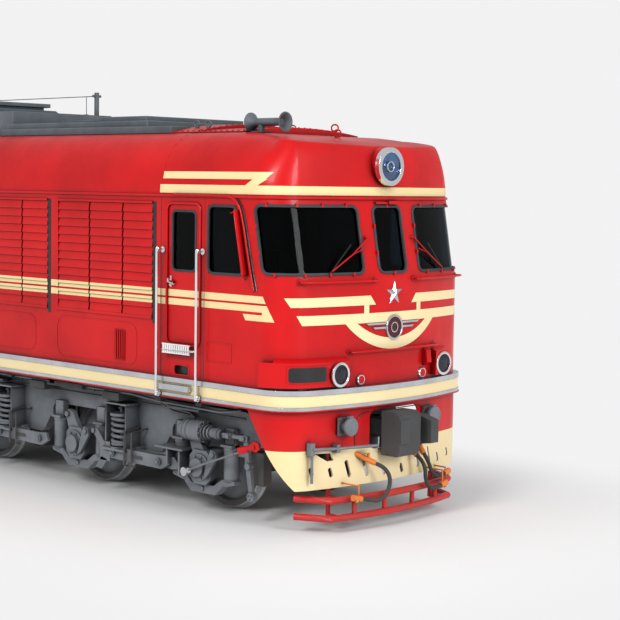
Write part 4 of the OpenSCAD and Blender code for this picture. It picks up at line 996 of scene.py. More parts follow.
# ---------------------------------------------------------------- lamps
def lamps():
    """Ringed buffer lamps and markers, and the big headlight in the brow."""
    rings, lens, bowl, box = Shape(), Shape(), Shape(), Shape()
    lamp_x = NOSE - 0.893 ** 2 / 2 / BOW_R + 0.080
    for s in (-1, 1):
        c = (lamp_x, s * 0.893, up(1.729))
        rings.lathe([(-0.004, 0.1355), (0.012, 0.139), (0.022, 0.136), (0.0255, 0.122), (0.019, 0.109), (0.0, 0.108),
                     (-0.004, 0.108)], c, (1, 0, 0), 64)
        lens.lathe([(0.0, 0), (0.0, 0.1075), (0.006, 0.1075), (0.013, 0.07), (0.017, 0.035), (0.018, 0)], c,
                   (1, 0, 0), 48)
        bowl.lathe([(-0.010, 0), (-0.010, 0.107), (-0.002, 0.107), (-0.006, 0.03), (-0.006, 0)], c, (1, 0, 0), 48)
        m = (NOSE - 0.533 ** 2 / 2 / BOW_R, s * 0.533, up(1.645))
        rings.lathe([(0.001, 0.060), (0.024, 0.058), (0.030, 0.052), (0.028, 0.045), (0.010, 0.043), (0.001, 0.043)],
                    m, (1, 0, 0), 48)
        box.lathe([(0.001, 0), (0.001, 0.043), (0.016, 0.043), (0.026, 0.02), (0.028, 0)], m, (1, 0, 0), 40)
    h = (9.150, 0.0, up(4.001))
    rings.lathe([(-0.02, 0.214), (0.030, 0.214), (0.043, 0.205), (0.045, 0.190), (0.036, 0.176), (0.010, 0.170),
                 (-0.02, 0.170)], h, (1, 0, 0), 80)
    bowl.lathe([(-0.028, 0), (-0.028, 0.168), (0.004, 0.168), (-0.014, 0.09), (-0.020, 0)], h, (1, 0, 0), 64)
    lens.lathe([(0.006, 0), (0.006, 0.169), (0.014, 0.169), (0.026, 0.10), (0.031, 0.05), (0.032, 0)], h,
               (1, 0, 0), 64)
    rings.lathe([(0.031, 0.062), (0.036, 0.060), (0.036, 0.050), (0.031, 0.048)], h, (1, 0, 0), 48)
    rings.both_ends().piece("lamp_rings", MAT["chrome"], "bright_metal", angle=40)
    lens.both_ends().piece("lamp_lenses", MAT["lens"], "lamp_metal", angle=40)
    bowl.both_ends().piece("lamp_bowls", MAT["bowl"], "lamp_metal", angle=40)
    box.both_ends().piece("marker_lenses", MAT["red lens"], "lamp_metal", angle=40)


MAT["badge"] = enamel("badge enamel", (0.10, 0.012, 0.014), (0.06, 0.008, 0.010), rough=0.2).mat
MAT["lens"] = glass("lamp glass", (0.30, 0.42, 0.60), ior=1.4)
MAT["red lens"] = enamel("marker glass", (0.35, 0.03, 0.025), (0.22, 0.015, 0.015), rough=0.08, coat=1.0).mat
MAT["bowl"] = satin("lamp reflector", (0.030, 0.055, 0.10), (0.012, 0.022, 0.045), rough=0.15, metal=1.0, dusty=0.0)

wings()
star_and_badge()
number_plates()
cab_windows()
lamps()


# ---------------------------------------------------------------- sides of the body
PANELS = (((5.131, 6.917), (5.768, 6.386)), ((3.155, 4.942), (3.790, 4.421)))
LOUVRE_LOW, LOUVRE_HIGH = 2.208, 3.571
ROOM_WINDOWS = (0.600, 1.800)


def louvres():
    """Overlapping boards in framed panels, a black sheet behind them as painted shade, a black strip past each panel's
    end as a painted shadow gap, and the engine room's windows between them.
    """
    boards, frames, dark, panes, rubbers = Shape(), Shape(), Shape(), Shape(), Shape()
    y = HALF_W
    for (x0, x1), splits in PANELS:
        # painted shade: a black sheet behind the boards where the engine room lies in shade
        dark.box((x0 + 0.01, y - 0.040, up(LOUVRE_LOW + 0.01)), (x1 - 0.01, y - 0.030, up(LOUVRE_HIGH - 0.01)))
        # painted shadow: a black strip standing on the side past the panel's end, for the frame's shadow gap
        dark.box((x1 + 0.001, y - 0.012, up(LOUVRE_LOW - 0.045)), (x1 + 0.066, y + 0.0015, up(LOUVRE_HIGH)))
        for a, b in ((LOUVRE_LOW, LOUVRE_LOW + 0.034), (LOUVRE_HIGH - 0.026, LOUVRE_HIGH)):
            frames.box((x0, y - 0.030, up(a)), (x1, y + 0.014, up(b)))
        frames.box((x0, y - 0.030, up(LOUVRE_LOW + 0.034)), (x0 + 0.034, y + 0.014, up(LOUVRE_HIGH - 0.026)))
        edges = [x0 + 0.034] + list(splits) + [x1]
        for i in range(3):
            a = edges[i] + (0.013 if i else 0.0)
            b = edges[i + 1] - (0.013 if i < 2 else 0.0)
            z = LOUVRE_LOW + 0.034
            while z < LOUVRE_HIGH - 0.06:
                top = min(z + 0.1015, LOUVRE_HIGH - 0.026)
                outline = ((y - 0.014, up(z)), (y + 0.011, up(z)), (y + 0.012, up(z + 0.004)),
                           (y - 0.002, up(top)), (y - 0.014, up(top)))
                boards.prism(outline, a, b, "x")
                z += 0.1
    for x in ROOM_WINDOWS:
        dark_edges = rounded_outline(x - 0.31, x + 0.31, 2.78, 3.33, 0.06)
        surround(rubbers, dark_edges, 0.030, 0.012, side_place(1))
        panes.prism([(px, up(pz)) for px, pz in dark_edges], y - 0.034, y - 0.024, "y")
    for shape, name, material, slot, angle in (
            (boards, "louvre_boards", MAT["body"], "body_red", 30), (frames, "louvre_frames", MAT["body"], "body_red",
                                                                     30),
            (dark, "louvre_backs", MAT["black"], "dark_steel", 30), (panes, "engine_room_panes", MAT["pane"],
                                                                     "window_glass", 30),
            (rubbers, "engine_room_window_rubbers", MAT["gasket"], "hose_rubber", 50)):
        mirror_lengthwise(shape)
        shape.mirrored()
        obj = shape.piece(name, material, slot, angle=angle)
        if name == "louvre_boards":
            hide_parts("louvres")


def mirror_lengthwise(shape):
    geom = bmesh.ops.duplicate(shape.bm, geom=shape.bm.verts[:] + shape.bm.edges[:] + shape.bm.faces[:])["geom"]
    for v in geom:
        if isinstance(v, bmesh.types.BMVert):
            v.co.x = -v.co.x
    return shape


def raised_line(shape, outline, wide=0.010, proud=0.0035):
    """A narrow raised seam round a closed outline on a side."""
    return surround(shape, outline, wide, proud, side_place(1))


def side_trim():
    """Inspection covers, seams, drip pipes, wind deflectors, handles and step treads on both sides."""
    red, dark, bright, tread = Shape(), Shape(), Shape(), Shape()
    y = HALF_W
    raised_line(red, soften([(5.136, 1.642), (6.644, 1.642), (6.644, 2.138), (5.136, 2.138)], 0.14), 0.012, 0.004)
    raised_line(red, soften([(3.200, 1.660), (4.700, 1.660), (4.700, 2.120), (3.200, 2.120)], 0.14), 0.012, 0.004)
    raised_line(red, soften([(7.846, 1.803), (8.246, 1.803), (8.246, 2.021), (7.846, 2.021)], 0.02), 0.010, 0.004)
    for k in range(5):
        x = 6.268 + 0.034 * k
        red.box((x, y + 0.0005, up(1.700)), (x + 0.014, y + 0.012, up(2.032)))
    raised_line(red, soften([(6.251, 1.688), (6.432, 1.688), (6.432, 2.044), (6.251, 2.044)], 0.01), 0.010, 0.010)
    for x in (7.794, 7.062, 2.98, -0.05):
        dark.box((x, y - 0.002, up(1.58)), (x + 0.006, y + 0.0012, up(3.62)))
    # frame round the door opening
    surround(red, rounded_outline(7.182 - 0.012, 7.721 + 0.012, 1.958 - 0.012, 3.547 + 0.012, 0.085), 0.030, 0.016,
             side_place(1))
    # drip pipe from the gutter down behind the corner, with a dark joint under it
    curve = [(7.30, 3.652), (7.90, 3.650), (8.15, 3.648), (8.24, 3.635), (8.31, 3.600), (8.355, 3.55),
             (8.39, 3.48), (8.43, 3.34), (8.475, 3.14), (8.535, 2.88), (8.600, 2.630)]
    red.tube([(a, y + 0.016, up(b)) for a, b in curve], 0.015, 10)
    dark.tube([(a + 0.030, y + 0.004, up(b)) for a, b in curve[3:]], 0.010, 8)
    # wind deflector ahead of the side window
    red.prism([(8.33, up(3.50)), (8.36, up(3.50)), (8.50, up(2.80)), (8.47, up(2.78))], y + 0.004, y + 0.075, "y")
    red.tube([(8.22, y + 0.012, up(3.462)), (8.33, y + 0.060, up(3.478)), (8.345, y + 0.074, up(3.44)),
              (8.475, y + 0.074, up(2.80)), (8.46, y + 0.010, up(2.745))], 0.007, 8)
    # step tread: a pierced plate below the door
    tread.box((7.185, y + 0.002, up(1.880)), (7.661, y + 0.088, up(1.897)))
    for k in range(12):
        x = 7.200 + 0.038 * k
        tread.box((x, y + 0.082, up(1.860)), (x + 0.026, y + 0.089, up(1.955)))
    tread.box((7.190, y + 0.078, up(1.850)), (7.656, y + 0.0895, up(1.862)))
    tread.box((7.190, y + 0.078, up(1.950)), (7.656, y + 0.0895, up(1.962)))
    dark.prism([(px, up(pz)) for px, pz in rounded_outline(7.300, 7.560, 1.600, 1.722, 0.045)], y - 0.058, y - 0.050,
               "y")
    surround(red, rounded_outline(7.300, 7.560, 1.600, 1.722, 0.045), 0.018, 0.004, side_place(1))
    # grab rail brackets
    for x in (7.107, 7.778):
        for z in (1.372, 3.024):
            foot = 0.056 if z < 2 else 0.0
            bright.lathe([(0.0, 0), (0.0, 0.034), (0.012, 0.034), (0.012, 0)], (x, y + foot + 0.001, up(z)), (0, 1,
                                                                                                              0), 24)
            bright.lathe([(-0.028, 0), (-0.026, 0.018), (0.0, 0.026), (0.026, 0.018), (0.028, 0)], (x, y + 0.0905,
                                                                                                    up(z)),
                         (0, 0, 1), 24)
            for dz in (-0.030, 0.030):
                bright.lathe([(0, 0), (0, 0.009), (0.016, 0.009), (0.020, 0)], (x, y + foot, up(z + dz)), (0, 1, 0),
                             12)
    for shape, name, material, slot in ((red, "side_seams_and_pipes", MAT["red"], "body_red"),
                                        (dark, "side_joints", MAT["black"], "dark_steel"),
                                        (bright, "grab_rail_brackets", MAT["chrome"], "bright_metal"),
                                        (tread, "door_step_treads", MAT["white"], "bright_metal")):
        mirror_lengthwise(shape)
        shape.mirrored()
        shape.piece(name, material, slot, angle=40)


def door_fittings():
    """Handle with its plate on each door, and dark glass in its window."""
    for name in ("right_front_door", "left_front_door", "right_rear_door", "left_rear_door"):
        ex = 1 if "front" in name else -1
        sy = -1 if "right" in name else 1
        y = HALF_W - 0.005
        shape = Shape()
        shape.box((7.205, y, up(2.600)), (7.245, y + 0.004, up(2.730)))
        shape.rod((7.225, y, up(2.662)), (7.225, y + 0.040, up(2.662)), 0.012, 16)
        shape.tube([(7.225, y + 0.040, up(2.700)), (7.225, y + 0.042, up(2.662)), (7.290, y + 0.042, up(2.646)),
                    (7.330, y + 0.040, up(2.634))], 0.010, 10)
        shape.rod((7.225, y, up(2.625)), (7.225, y + 0.012, up(2.625)), 0.014, 16)
        for v in shape.bm.verts:
            v.co.x *= ex
            v.co.y *= sy
        shape.piece(name + "_handle", MAT["chrome"], "bright_metal", body=name, angle=40)
        x0, x1, z0, z1 = DOOR_WINDOW
        paint_faces(made[name], MAT["pane"], lambda c, n: x0 + 0.01 < abs(c.x) < x1 - 0.01 and
                    up(z0) + 0.01 < c.z < up(z1) - 0.01 and 1.503 < abs(c.y) < 1.542)


louvres()
side_trim()
door_fittings()


# ---------------------------------------------------------------- end faces
def end_trim():
    """Handrails, wipers, hatch seams, lamp hoods and apron fittings of both ends."""
    red, dark = Shape(), Shape()

    def rail(u0, u1, z, out=0.075, r=0.013):
        pts = []
        for u, off in [(u0, 0.0), (u0, out * 0.8), (u0 + 0.03, out)] + [
                (u0 + (u1 - u0) * k / 10, out) for k in range(1, 10)] + [(u1 - 0.03, out), (u1, out * 0.8), (u1, 0.0)]:
            p, d = round_path(u, up(z))
            pts.append(p + d * off)
        red.tube(pts, r, 10)
        for u in (u0, u1):
            p, d = round_path(u, up(z))
            red.lathe([(0, 0), (0, 0.032), (0.008, 0.030), (0.010, 0)], p + d * 0.001, d, 20)

    for s in (-1, 1):
        lo, hi = sorted((s * 0.335, s * 1.360))
        rail(lo, hi, 2.738)
        p, d = round_path(s * 1.32, up(2.738))
    rail(-0.700, 0.780, 1.958, 0.07)
    # wipers with their arms, one for each outer screen and one hanging from above the middle one
    for s in (-1, 1):
        p, d = round_path(s * 0.400, up(3.206))
        tip, dt = round_path(s * 0.950, up(2.850))
        mid, dm = round_path(s * 0.640, up(3.030))
        elbow, de = round_path(s * 0.480, up(3.080))
        red.tube([p + d * 0.004, p + d * 0.036, mid + dm * 0.034, tip + dt * 0.024], 0.0075, 8)
        red.tube([elbow + de * 0.022, mid + dm * 0.026], 0.006, 8)
        dark.tube([mid + dm * 0.018 + Vector((0, s * 0.02, 0.11)), tip + dt * 0.016 + Vector((0, 0, 0.0)),
                   tip + dt * 0.016 + Vector((0, s * 0.05, -0.03))], 0.006, 8)
        red.lathe([(0, 0), (0, 0.024), (0.022, 0.018), (0.026, 0)], p, d, 20)
    p, d = round_path(-0.03, up(3.600))
    red.box(p + Vector((0.0, -0.16, -0.018)), p + Vector((0.030, 0.16, 0.004)))
    red.box(p + Vector((0.0, 0.04, -0.020)), p + Vector((0.050, 0.20, 0.016)))
    # hoods over the lamp boxes: a chamfered lid
    for u0, u1 in ((-1.62, -0.752), (0.752, 1.045)):
        n = max(3, int((u1 - u0) / 0.06))
        verts, faces = [], []
        for k in range(n + 1):
            q, d = round_path(u0 + (u1 - u0) * k / n, up(1.872))
            verts += [q + d * 0.0, q + d * 0.074, q + d * 0.0 + Vector((0, 0, 0.045))]
        for k in range(n):
            a, b = 3 * k, 3 * k + 3
            faces += [(a, a + 1, b + 1, b), (a + 1, a + 2, b + 2, b + 1), (a + 2, a, b, b + 2)]
        faces += [(0, 2, 1), (3 * n, 3 * n + 1, 3 * n + 2)]
        red.add(verts, faces)
    # little tapered box above the left-hand marker
    q, d = round_path(0.600, up(1.8))
    red.prism([(q.x, up(1.720)), (q.x + 0.075, up(1.760)), (q.x + 0.055, up(1.905)), (q.x, up(1.930))], 0.562, 0.640,
              "y")
    # bolts beside the lamps
    for u, z in ((-1.500, 1.64), (1.095, 1.66), (1.095, 1.80)):
        q, d = round_path(u, up(z))
        red.lathe([(0, 0), (0, 0.022), (0.020, 0.020), (0.026, 0)], q, d, 16)
    # raised edge round the coupler's opening
    def plate(u, z):
        q, d = round_path(u, up(1.0))
        return Vector((q.x + 0.015, q.y, z)), d
    arch = [(-0.610, 0.912), (-0.610, 1.120), (-0.596, 1.180), (-0.560, 1.232), (-0.510, 1.262), (-0.440, 1.275),
            (0.440, 1.275), (0.510, 1.262), (0.560, 1.232), (0.596, 1.180), (0.610, 1.120), (0.610, 0.912)]
    pts = []
    for u, z in arch:
        q, d = plate(u, up(z))
        pts.append(q + d * 0.001)
    dark.tube(pts, 0.006, 8)
    for shape, name, material, slot in ((red, "end_rails_and_wipers", MAT["red"], "body_red"),
                                        (dark, "end_joints", MAT["black"], "dark_steel")):
        shape.both_ends()
        shape.piece(name, material, slot, angle=40)


def socket_fronts():
    """Square flanges and hinged caps on the jumper sockets."""
    shape = Shape()
    for y in (-0.780, 0.640):
        x = face_x(abs(y) - 0.062, up(1.15)) + 0.0155
        shape.box((x - 0.002, y - 0.100, up(1.050)), (x + 0.022, y + 0.100, up(1.250)))
        for sy in (-1, 1):
            for sz in (-1, 1):
                shape.lathe([(0, 0), (0, 0.012), (0.012, 0.012), (0.012, 0)],
                            (x + 0.022, y + sy * 0.082, up(1.150) + sz * 0.082), (1, 0, 0), 6)
        shape.lathe([(0.129, 0), (0.129, 0.098), (0.138, 0.094), (0.142, 0.06), (0.146, 0)], (x - 0.015, y, up(1.150)),
                    (1, 0, 0), 12)
        shape.box((x + 0.080, y - 0.030, up(1.235)), (x + 0.120, y + 0.030, up(1.268)))
    shape.both_ends().piece("socket_flanges_and_caps", MAT["gear"], "running_gear_grey", angle=30, edge=0.002)


end_trim()
socket_fronts()


# ---------------------------------------------------------------- bogies
PIVOT = 5.200
AXLE_PITCH = 2.300
AXLE_Z = 0.525


def springs():
    """Coil springs over the axle boxes and between the wheels, with seats, rods and brackets."""
    for end, name in ((1, "front"), (-1, "rear")):
        coils, seats = Shape(), Shape()
        for k in (-1, 0, 1):
            for s in (-1, 1):
                x = PIVOT + k * AXLE_PITCH + s * 0.415
                coils.coil(x, 1.210, up(0.422), up(0.752), 0.072, 0.0165, 6.5)
                seats.lathe([(0, 0), (0, 0.094), (0.010, 0.096), (0.012, 0.060), (0.030, 0.050), (0.030, 0)],
                            (x, 1.210, up(0.4155)), (0, 0, 1), 32)
                seats.lathe([(0, 0), (0, 0.040), (0.030, 0.055), (0.040, 0.094), (0.048, 0.094), (0.048, 0)],
                            (x, 1.210, up(0.750)), (0, 0, 1), 32)
                seats.rod((x, 1.210, up(0.79)), (x, 1.210, up(0.90)), 0.030, 20)
                seats.box((x - 0.090, 1.171, up(0.800)), (x + 0.090, 1.300, up(0.826)))
                for g in (-1, 1):
                    seats.prism([(x + g * 0.084, up(0.826)), (x + g * 0.072, up(0.826)), (x + g * 0.072, up(1.01)),
                                 (x + g * 0.084, up(1.01))], 1.171, 1.245, "y")
        for x in (PIVOT - 1.427, PIVOT + 0.873):
            coils.coil(x, 1.290, up(0.600), up(0.950), 0.112, 0.021, 6.0)
            seats.lathe([(0, 0), (0, 0.142), (0.018, 0.144), (0.020, 0.09), (0.045, 0.08), (0.045, 0)],
                        (x, 1.290, up(0.575)), (0, 0, 1), 40)
            seats.lathe([(0, 0), (0, 0.100), (0.030, 0.143), (0.060, 0.143), (0.066, 0.06), (0.066, 0)],
                        (x, 1.290, up(0.940)), (0, 0, 1), 40)
            seats.rod((x, 1.290, up(1.0)), (x, 1.290, up(1.085)), 0.026, 20)
            seats.rod((x, 1.290, up(1.05)), (x, 1.290, up(1.066)), 0.045, 6)
            seats.prism([(x - 0.20, up(0.545)), (x + 0.20, up(0.545)), (x + 0.20, up(0.575)), (x - 0.20, up(0.575))],
                        1.171, 1.430, "y")
            for g in (-1, 1):
                seats.prism([(x + g * 0.175, up(0.575)), (x + g * 0.200, up(0.575)), (x + g * 0.200, up(0.70)),
                             (x + g * 0.175, up(1.120))], 1.171, 1.390, "y")
            seats.prism([(x - 0.20, up(1.105)), (x + 0.20, up(1.105)), (x + 0.20, up(1.125)), (x - 0.20, up(1.125))],
                        1.171, 1.400, "y")
        coils.mirrored()
        seats.mirrored()
        if end < 0:
            for shape in (coils, seats):
                for v in shape.bm.verts:
                    v.co.x, v.co.y = -v.co.x, -v.co.y
        obj = coils.piece(name + "_coil_springs", MAT["spring"], "running_gear_grey", body=name + "_bogie", angle=60)
        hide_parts(name + "_springs")
        seats.piece(name + "_spring_seats", MAT["gear"], "running_gear_grey", body=name + "_bogie", angle=40)


FRAME_FACE = 1.171       # where the fittings start on a bogie frame's side
CYLINDER_Y = 1.310       # middle of a brake cylinder


def axle_box_fittings():
    """Bolted caps, guide arms and links of the axle boxes, sanders, pipes, and the beams between the boxes."""
    for end, name in ((1, "front"), (-1, "rear")):
        grey, black, bright = Shape(), Shape(), Shape()
        y = 1.320
        for k in (-1, 0, 1):
            x = PIVOT + k * AXLE_PITCH
            grey.lathe([(0, 0), (0, 0.158), (0.012, 0.160), (0.020, 0.150), (0.022, 0.112), (0.060, 0.108), (0.066,
                                                                                                             0.098),
                        (0.070, 0)], (x, y + 0.0005, up(AXLE_Z)), (0, 1, 0), 48)
            for a in range(8):
                t = math.radians(22.5 + 45 * a)
                grey.rod((x + 0.132 * math.cos(t), y + 0.018, up(AXLE_Z) + 0.132 * math.sin(t)),
                         (x + 0.132 * math.cos(t), y + 0.036, up(AXLE_Z) + 0.132 * math.sin(t)), 0.013, 6)
            # upper guide arm leaning back from the box to the frame, and its eye
            grey.prism([(x - 0.135, up(0.640)), (x + 0.060, up(0.700)), (x - 0.075, up(0.905)), (x - 0.160, up(0.930)),
                        (x - 0.215, up(0.880)), (x - 0.190, up(0.800))], 1.235, 1.300, "y")
            grey.rod((x - 0.165, FRAME_FACE, up(0.870)), (x - 0.165, 1.330, up(0.870)), 0.034, 24)
            # lower guide arm forward of the box
            grey.prism([(x + 0.120, up(0.400)), (x + 0.180, up(0.450)), (x + 0.330, up(0.660)), (x + 0.305, up(0.740)),
                        (x + 0.235, up(0.760)), (x + 0.205, up(0.700)), (x + 0.150, up(0.560))], 1.330, 1.372, "y")
            grey.rod((x + 0.270, FRAME_FACE, up(0.705)), (x + 0.270, 1.392, up(0.705)), 0.032, 24)
            # bolts under the spring beam
            grey.rod((x, 1.150, up(0.270)), (x, 1.285, up(0.270)), 0.028, 6)
            for g in (-1, 1):
                grey.rod((x + g * 0.415, 1.210, up(0.335)), (x + g * 0.415, 1.210, up(0.371)), 0.030, 6)
        # brake beams between the boxes, each with a slot, a boss at one end and straps
        for x0 in (PIVOT - AXLE_PITCH + 0.72, PIVOT + 0.72):
            outline = [(x0, up(0.445)), (x0 + 0.05, up(0.575)), (x0 + 0.26, up(0.590)), (x0 + 0.90, up(0.585)),
                       (x0 + 1.08, up(0.600)), (x0 + 1.12, up(0.500)), (x0 + 0.98, up(0.430)), (x0 + 0.26, up(0.440))]
            grey.prism(outline, 1.352, 1.392, "y")
            black.prism([(px, pz) for px, pz in rounded_outline(x0 + 0.42, x0 + 0.66, up(0.490), up(0.535), 0.02)],
                        1.391, 1.394,
                        "y")
            for boss in (0.12, 0.96):
                grey.rod((x0 + boss, 1.300, up(0.515)), (x0 + boss, 1.425, up(0.515)), 0.038, 20)
                grey.rod((x0 + boss, 1.425, up(0.515)), (x0 + boss, 1.440, up(0.515)), 0.024, 6)
            grey.box((x0 - 0.13, 1.300, up(0.400)), (x0 + 0.06, 1.400, up(0.640)))
            grey.prism([(x0 - 0.30, up(0.770)), (x0 - 0.18, up(0.780)), (x0 - 0.02, up(0.600)), (x0 - 0.10,
                                                                                                 up(0.560))],
                       1.375, 1.405, "y")
            grey.rod((x0 - 0.245, 1.340, up(0.745)), (x0 - 0.245, 1.425, up(0.745)), 0.030, 20)
            grey.prism([(x0 - 0.22, up(0.300)), (x0 - 0.10, up(0.290)), (x0 + 0.01, up(0.420)), (x0 - 0.10,
                                                                                                 up(0.450))],
                       1.370, 1.400, "y")
            # safety strap hanging round the beam
            bent = [(x0 + 0.36, 1.180, up(0.830)), (x0 + 0.36, 1.420, up(0.800)), (x0 + 0.36, 1.430, up(0.400)),
                    (x0 + 0.36, 1.360, up(0.385))]
            black.tube(bent, 0.012, 8)
            black.tube([(px + 0.13, py, pz) for px, py, pz in bent], 0.012, 8)
        # brake cylinder: ribs, end flange with bolts, slack adjuster and clevises
        for sx in (-1, 1):
            def bx(v):
                return PIVOT + sx * v
            z = up(0.945)
            for a in (2.085, 2.150, 2.360):
                grey.rod((bx(a), CYLINDER_Y, z), (bx(a + 0.016), CYLINDER_Y, z), 0.129, 40)
            for a in range(10):
                t = math.radians(36 * a)
                grey.rod((bx(2.376), CYLINDER_Y + 0.112 * math.cos(t), z + 0.112 * math.sin(t)),
                         (bx(2.398), CYLINDER_Y + 0.112 * math.cos(t), z + 0.112 * math.sin(t)), 0.012, 6)
            for a, r in ((2.380, 0.100), (2.420, 0.085), (2.470, 0.078), (2.600, 0.070), (2.640, 0.055)):
                grey.rod((bx(a), CYLINDER_Y, z), (bx(a + 0.024), CYLINDER_Y, z), r, 32)
            grey.rod((bx(2.0), CYLINDER_Y, z), (bx(2.075), CYLINDER_Y, z), 0.090, 32)
            for dy in (-0.030, 0.024):
                grey.box((bx(2.70), CYLINDER_Y + dy, z - 0.030), (bx(2.83), CYLINDER_Y + dy + 0.012, z + 0.030))
                grey.box((bx(2.97), CYLINDER_Y + dy, z - 0.032), (bx(3.10), CYLINDER_Y + dy + 0.012, z + 0.032))
            for a in (2.80, 3.05):
                grey.rod((bx(a), 1.250, z), (bx(a), 1.372, z), 0.022, 16)
            # bracket shelf with gussets under the cylinder
            grey.box((bx(1.620), FRAME_FACE, up(0.690)), (bx(2.100), 1.420, up(0.712)))
            grey.prism([(bx(1.80), up(0.690)), (bx(1.83), up(0.690)), (bx(1.83), up(0.480)), (bx(1.80), up(0.560))],
                       FRAME_FACE, 1.400, "y")
            grey.prism([(bx(2.00), up(0.690)), (bx(2.03), up(0.690)), (bx(2.03), up(0.400)), (bx(2.00), up(0.400))],
                       FRAME_FACE, 1.390, "y")
            # pin bosses on the lever
            grey.rod((bx(3.105), 1.280, up(0.640)), (bx(3.105), 1.352, up(0.640)), 0.040, 24)
            grey.rod((bx(3.158), 1.280, up(0.300)), (bx(3.158), 1.350, up(0.300)), 0.052, 24)
            for a in range(3):
                t = math.radians(120 * a + 30)
                black.rod((bx(3.158) + 0.028 * math.cos(t), 1.349, up(0.300) + 0.028 * math.sin(t)),
                          (bx(3.158) + 0.028 * math.cos(t), 1.353, up(0.300) + 0.028 * math.sin(t)), 0.011, 10)
            # dark sand box behind the levers and a strut to it
            black.box((bx(2.985), 1.040, up(0.400)), (bx(3.190), 1.168, up(0.770)))
            grey.box((bx(2.700), FRAME_FACE, up(0.700)), (bx(2.985), 1.200, up(0.770)))
        # speed sensor on the outer axle box with its cable to the air valve
        x = PIVOT + AXLE_PITCH
        bright.rod((x - 0.135, 1.392, up(0.470)), (x - 0.135, 1.450, up(0.470)), 0.052, 24)
        bright.rod((x - 0.110, 1.400, up(0.480)), (x - 0.060, 1.440, up(0.492)), 0.030, 16)
        # thin rod that climbs from the sensor towards the air valve
        grey.tube([(x - 0.110, 1.430, up(0.480)), (x + 0.20, 1.445, up(0.600)), (x + 0.80, 1.450, up(0.815))], 0.013,
                  10)
        grey.rod((x + 0.62, 1.448, up(0.751)), (x + 0.70, 1.449, up(0.780)), 0.020, 12)
        # pipe along the frame with clips, and its branches
        for z, r in ((1.232, 0.016), (1.195, 0.010)):
            grey.tube([(PIVOT - 3.0, 1.176 + r, up(z)), (PIVOT + 1.35, 1.176 + r, up(z)), (PIVOT + 1.70, 1.180 + r,
                                                                                           up(z - 0.10)),
                       (PIVOT + 2.00, 1.180 + r, up(z - 0.12)), (PIVOT + 2.10, 1.19 + r, up(1.06))], r, 8)
        for k in range(9):
            grey.box((PIVOT - 2.8 + 0.5 * k, FRAME_FACE, up(1.185)), (PIVOT - 2.77 + 0.5 * k, 1.206, up(1.250)))
        grey.box((PIVOT - 2.9, FRAME_FACE, up(1.128)), (PIVOT + 2.9, 1.190, up(1.140)))
        for x in (PIVOT + 1.9, PIVOT - 1.9):
            grey.box((x - 0.20, FRAME_FACE, up(1.150)), (x + 0.35, 1.300, up(1.180)))
        for shape in (grey, black, bright):
            shape.mirrored()
            if end < 0:
                for v in shape.bm.verts:
                    v.co.x, v.co.y = -v.co.x, -v.co.y
        grey.piece(name + "_axle_box_fittings", MAT["gear"], "running_gear_grey", body=name + "_bogie", angle=35,
                   edge=0.003)
        black.piece(name + "_straps_and_sand_boxes", MAT["dark"], "dark_steel", body=name + "_bogie", angle=40)
        bright.piece(name + "_speed_sensor", MAT["silver"], "bright_metal", body=name + "_bogie", angle=40)


def wheels():
    """Rims turned bright at the tread, with a darker web and a dark hub."""
    number = 0
    for x in (7.5, 5.2, 2.9, -2.9, -5.2, -7.5):
        number += 1
        obj = made["wheelset_%d" % number]
        centre = Vector((x, 0.0, up(AXLE_Z)))
        paint_faces(obj, MAT["gear"], lambda c, n: math.hypot(c.x - centre.x, c.z - centre.z) < 0.455)
        paint_faces(obj, MAT["dark"], lambda c, n: math.hypot(c.x - centre.x, c.z - centre.z) < 0.150)


def underbody():
    """Body supports over the bogies, the front air valves with their rods, and pipes below the sills."""
    black, red, grey = Shape(), Shape(), Shape()
    for x in (5.93, 4.47):
        black.box((x - 0.02, 1.20, up(1.170)), (x + 0.28, 1.46, up(1.262)))
        black.box((x + 0.02, 1.24, up(1.150)), (x + 0.22, 1.42, up(1.172)))
    for x in (3.4, 4.0, 4.9, 6.9, 7.6):
        black.box((x, 0.95, up(1.262)), (x + 0.10, 1.49, up(1.335)))
    black.box((2.4, 1.40, up(1.300)), (8.3, 1.49, up(1.336)))
    grey.tube([(2.2, 1.42, up(1.275)), (6.4, 1.42, up(1.275)), (6.9, 1.40, up(1.235)), (7.9, 1.38, up(1.215)),
               (8.2, 1.34, up(1.255))], 0.018, 10)
    # air valve: hexagon on the apron, elbow, and the rod that reaches the bogie
    c = Vector((8.545, 1.455, up(0.905)))
    red.lathe([(-0.030, 0), (-0.030, 0.062), (0.020, 0.062), (0.020, 0)], c, (0.35, 0.9, 0.0), 6)
    red.rod(c, c + Vector((-0.150, 0.055, -0.045)), 0.034, 20)
    red.rod(c + Vector((-0.090, 0.030, -0.030)), c + Vector((-0.190, 0.068, -0.062)), 0.042, 8)
    for shape, name, material, slot in ((black, "body_supports", MAT["dark"], "dark_steel"),
                                        (grey, "under_sill_pipes", MAT["gear"], "running_gear_grey"),
                                        (red, "front_air_valves", MAT["red"], "body_red")):
        shape.mirrored()
        shape.both_ends()
        shape.piece(name, material, slot, angle=35, edge=0.003)


MAT["spring"] = satin("spring steel", (0.15, 0.163, 0.18), (0.10, 0.11, 0.125), rough=0.4, dusty=0.1)
springs()
axle_box_fittings()
wheels()
underbody()


# ---------------------------------------------------------------- roof fittings
def lifting_ring(shape, x, y, z, turn=0.0, size=1.0):
    """A ring on a short foot."""
    r = 0.042 * size
    ring = [(x + r * math.cos(a) * math.cos(turn), y + r * math.cos(a) * math.sin(turn),
             z + r * 1.15 + r * math.sin(a))
            for a in (2 * math.pi * k / 24 for k in range(25))]
    shape.tube(ring, 0.010 * size, 8)
    shape.rod((x, y, z - 0.004), (x, y, z + 0.022 * size), 0.020 * size, 12)


def bolt_head(radius=0.011, height=0.009):
    part = Shape()
    part.rod((0, 0, 0), (0, 0, height), radius, 6)
    return part


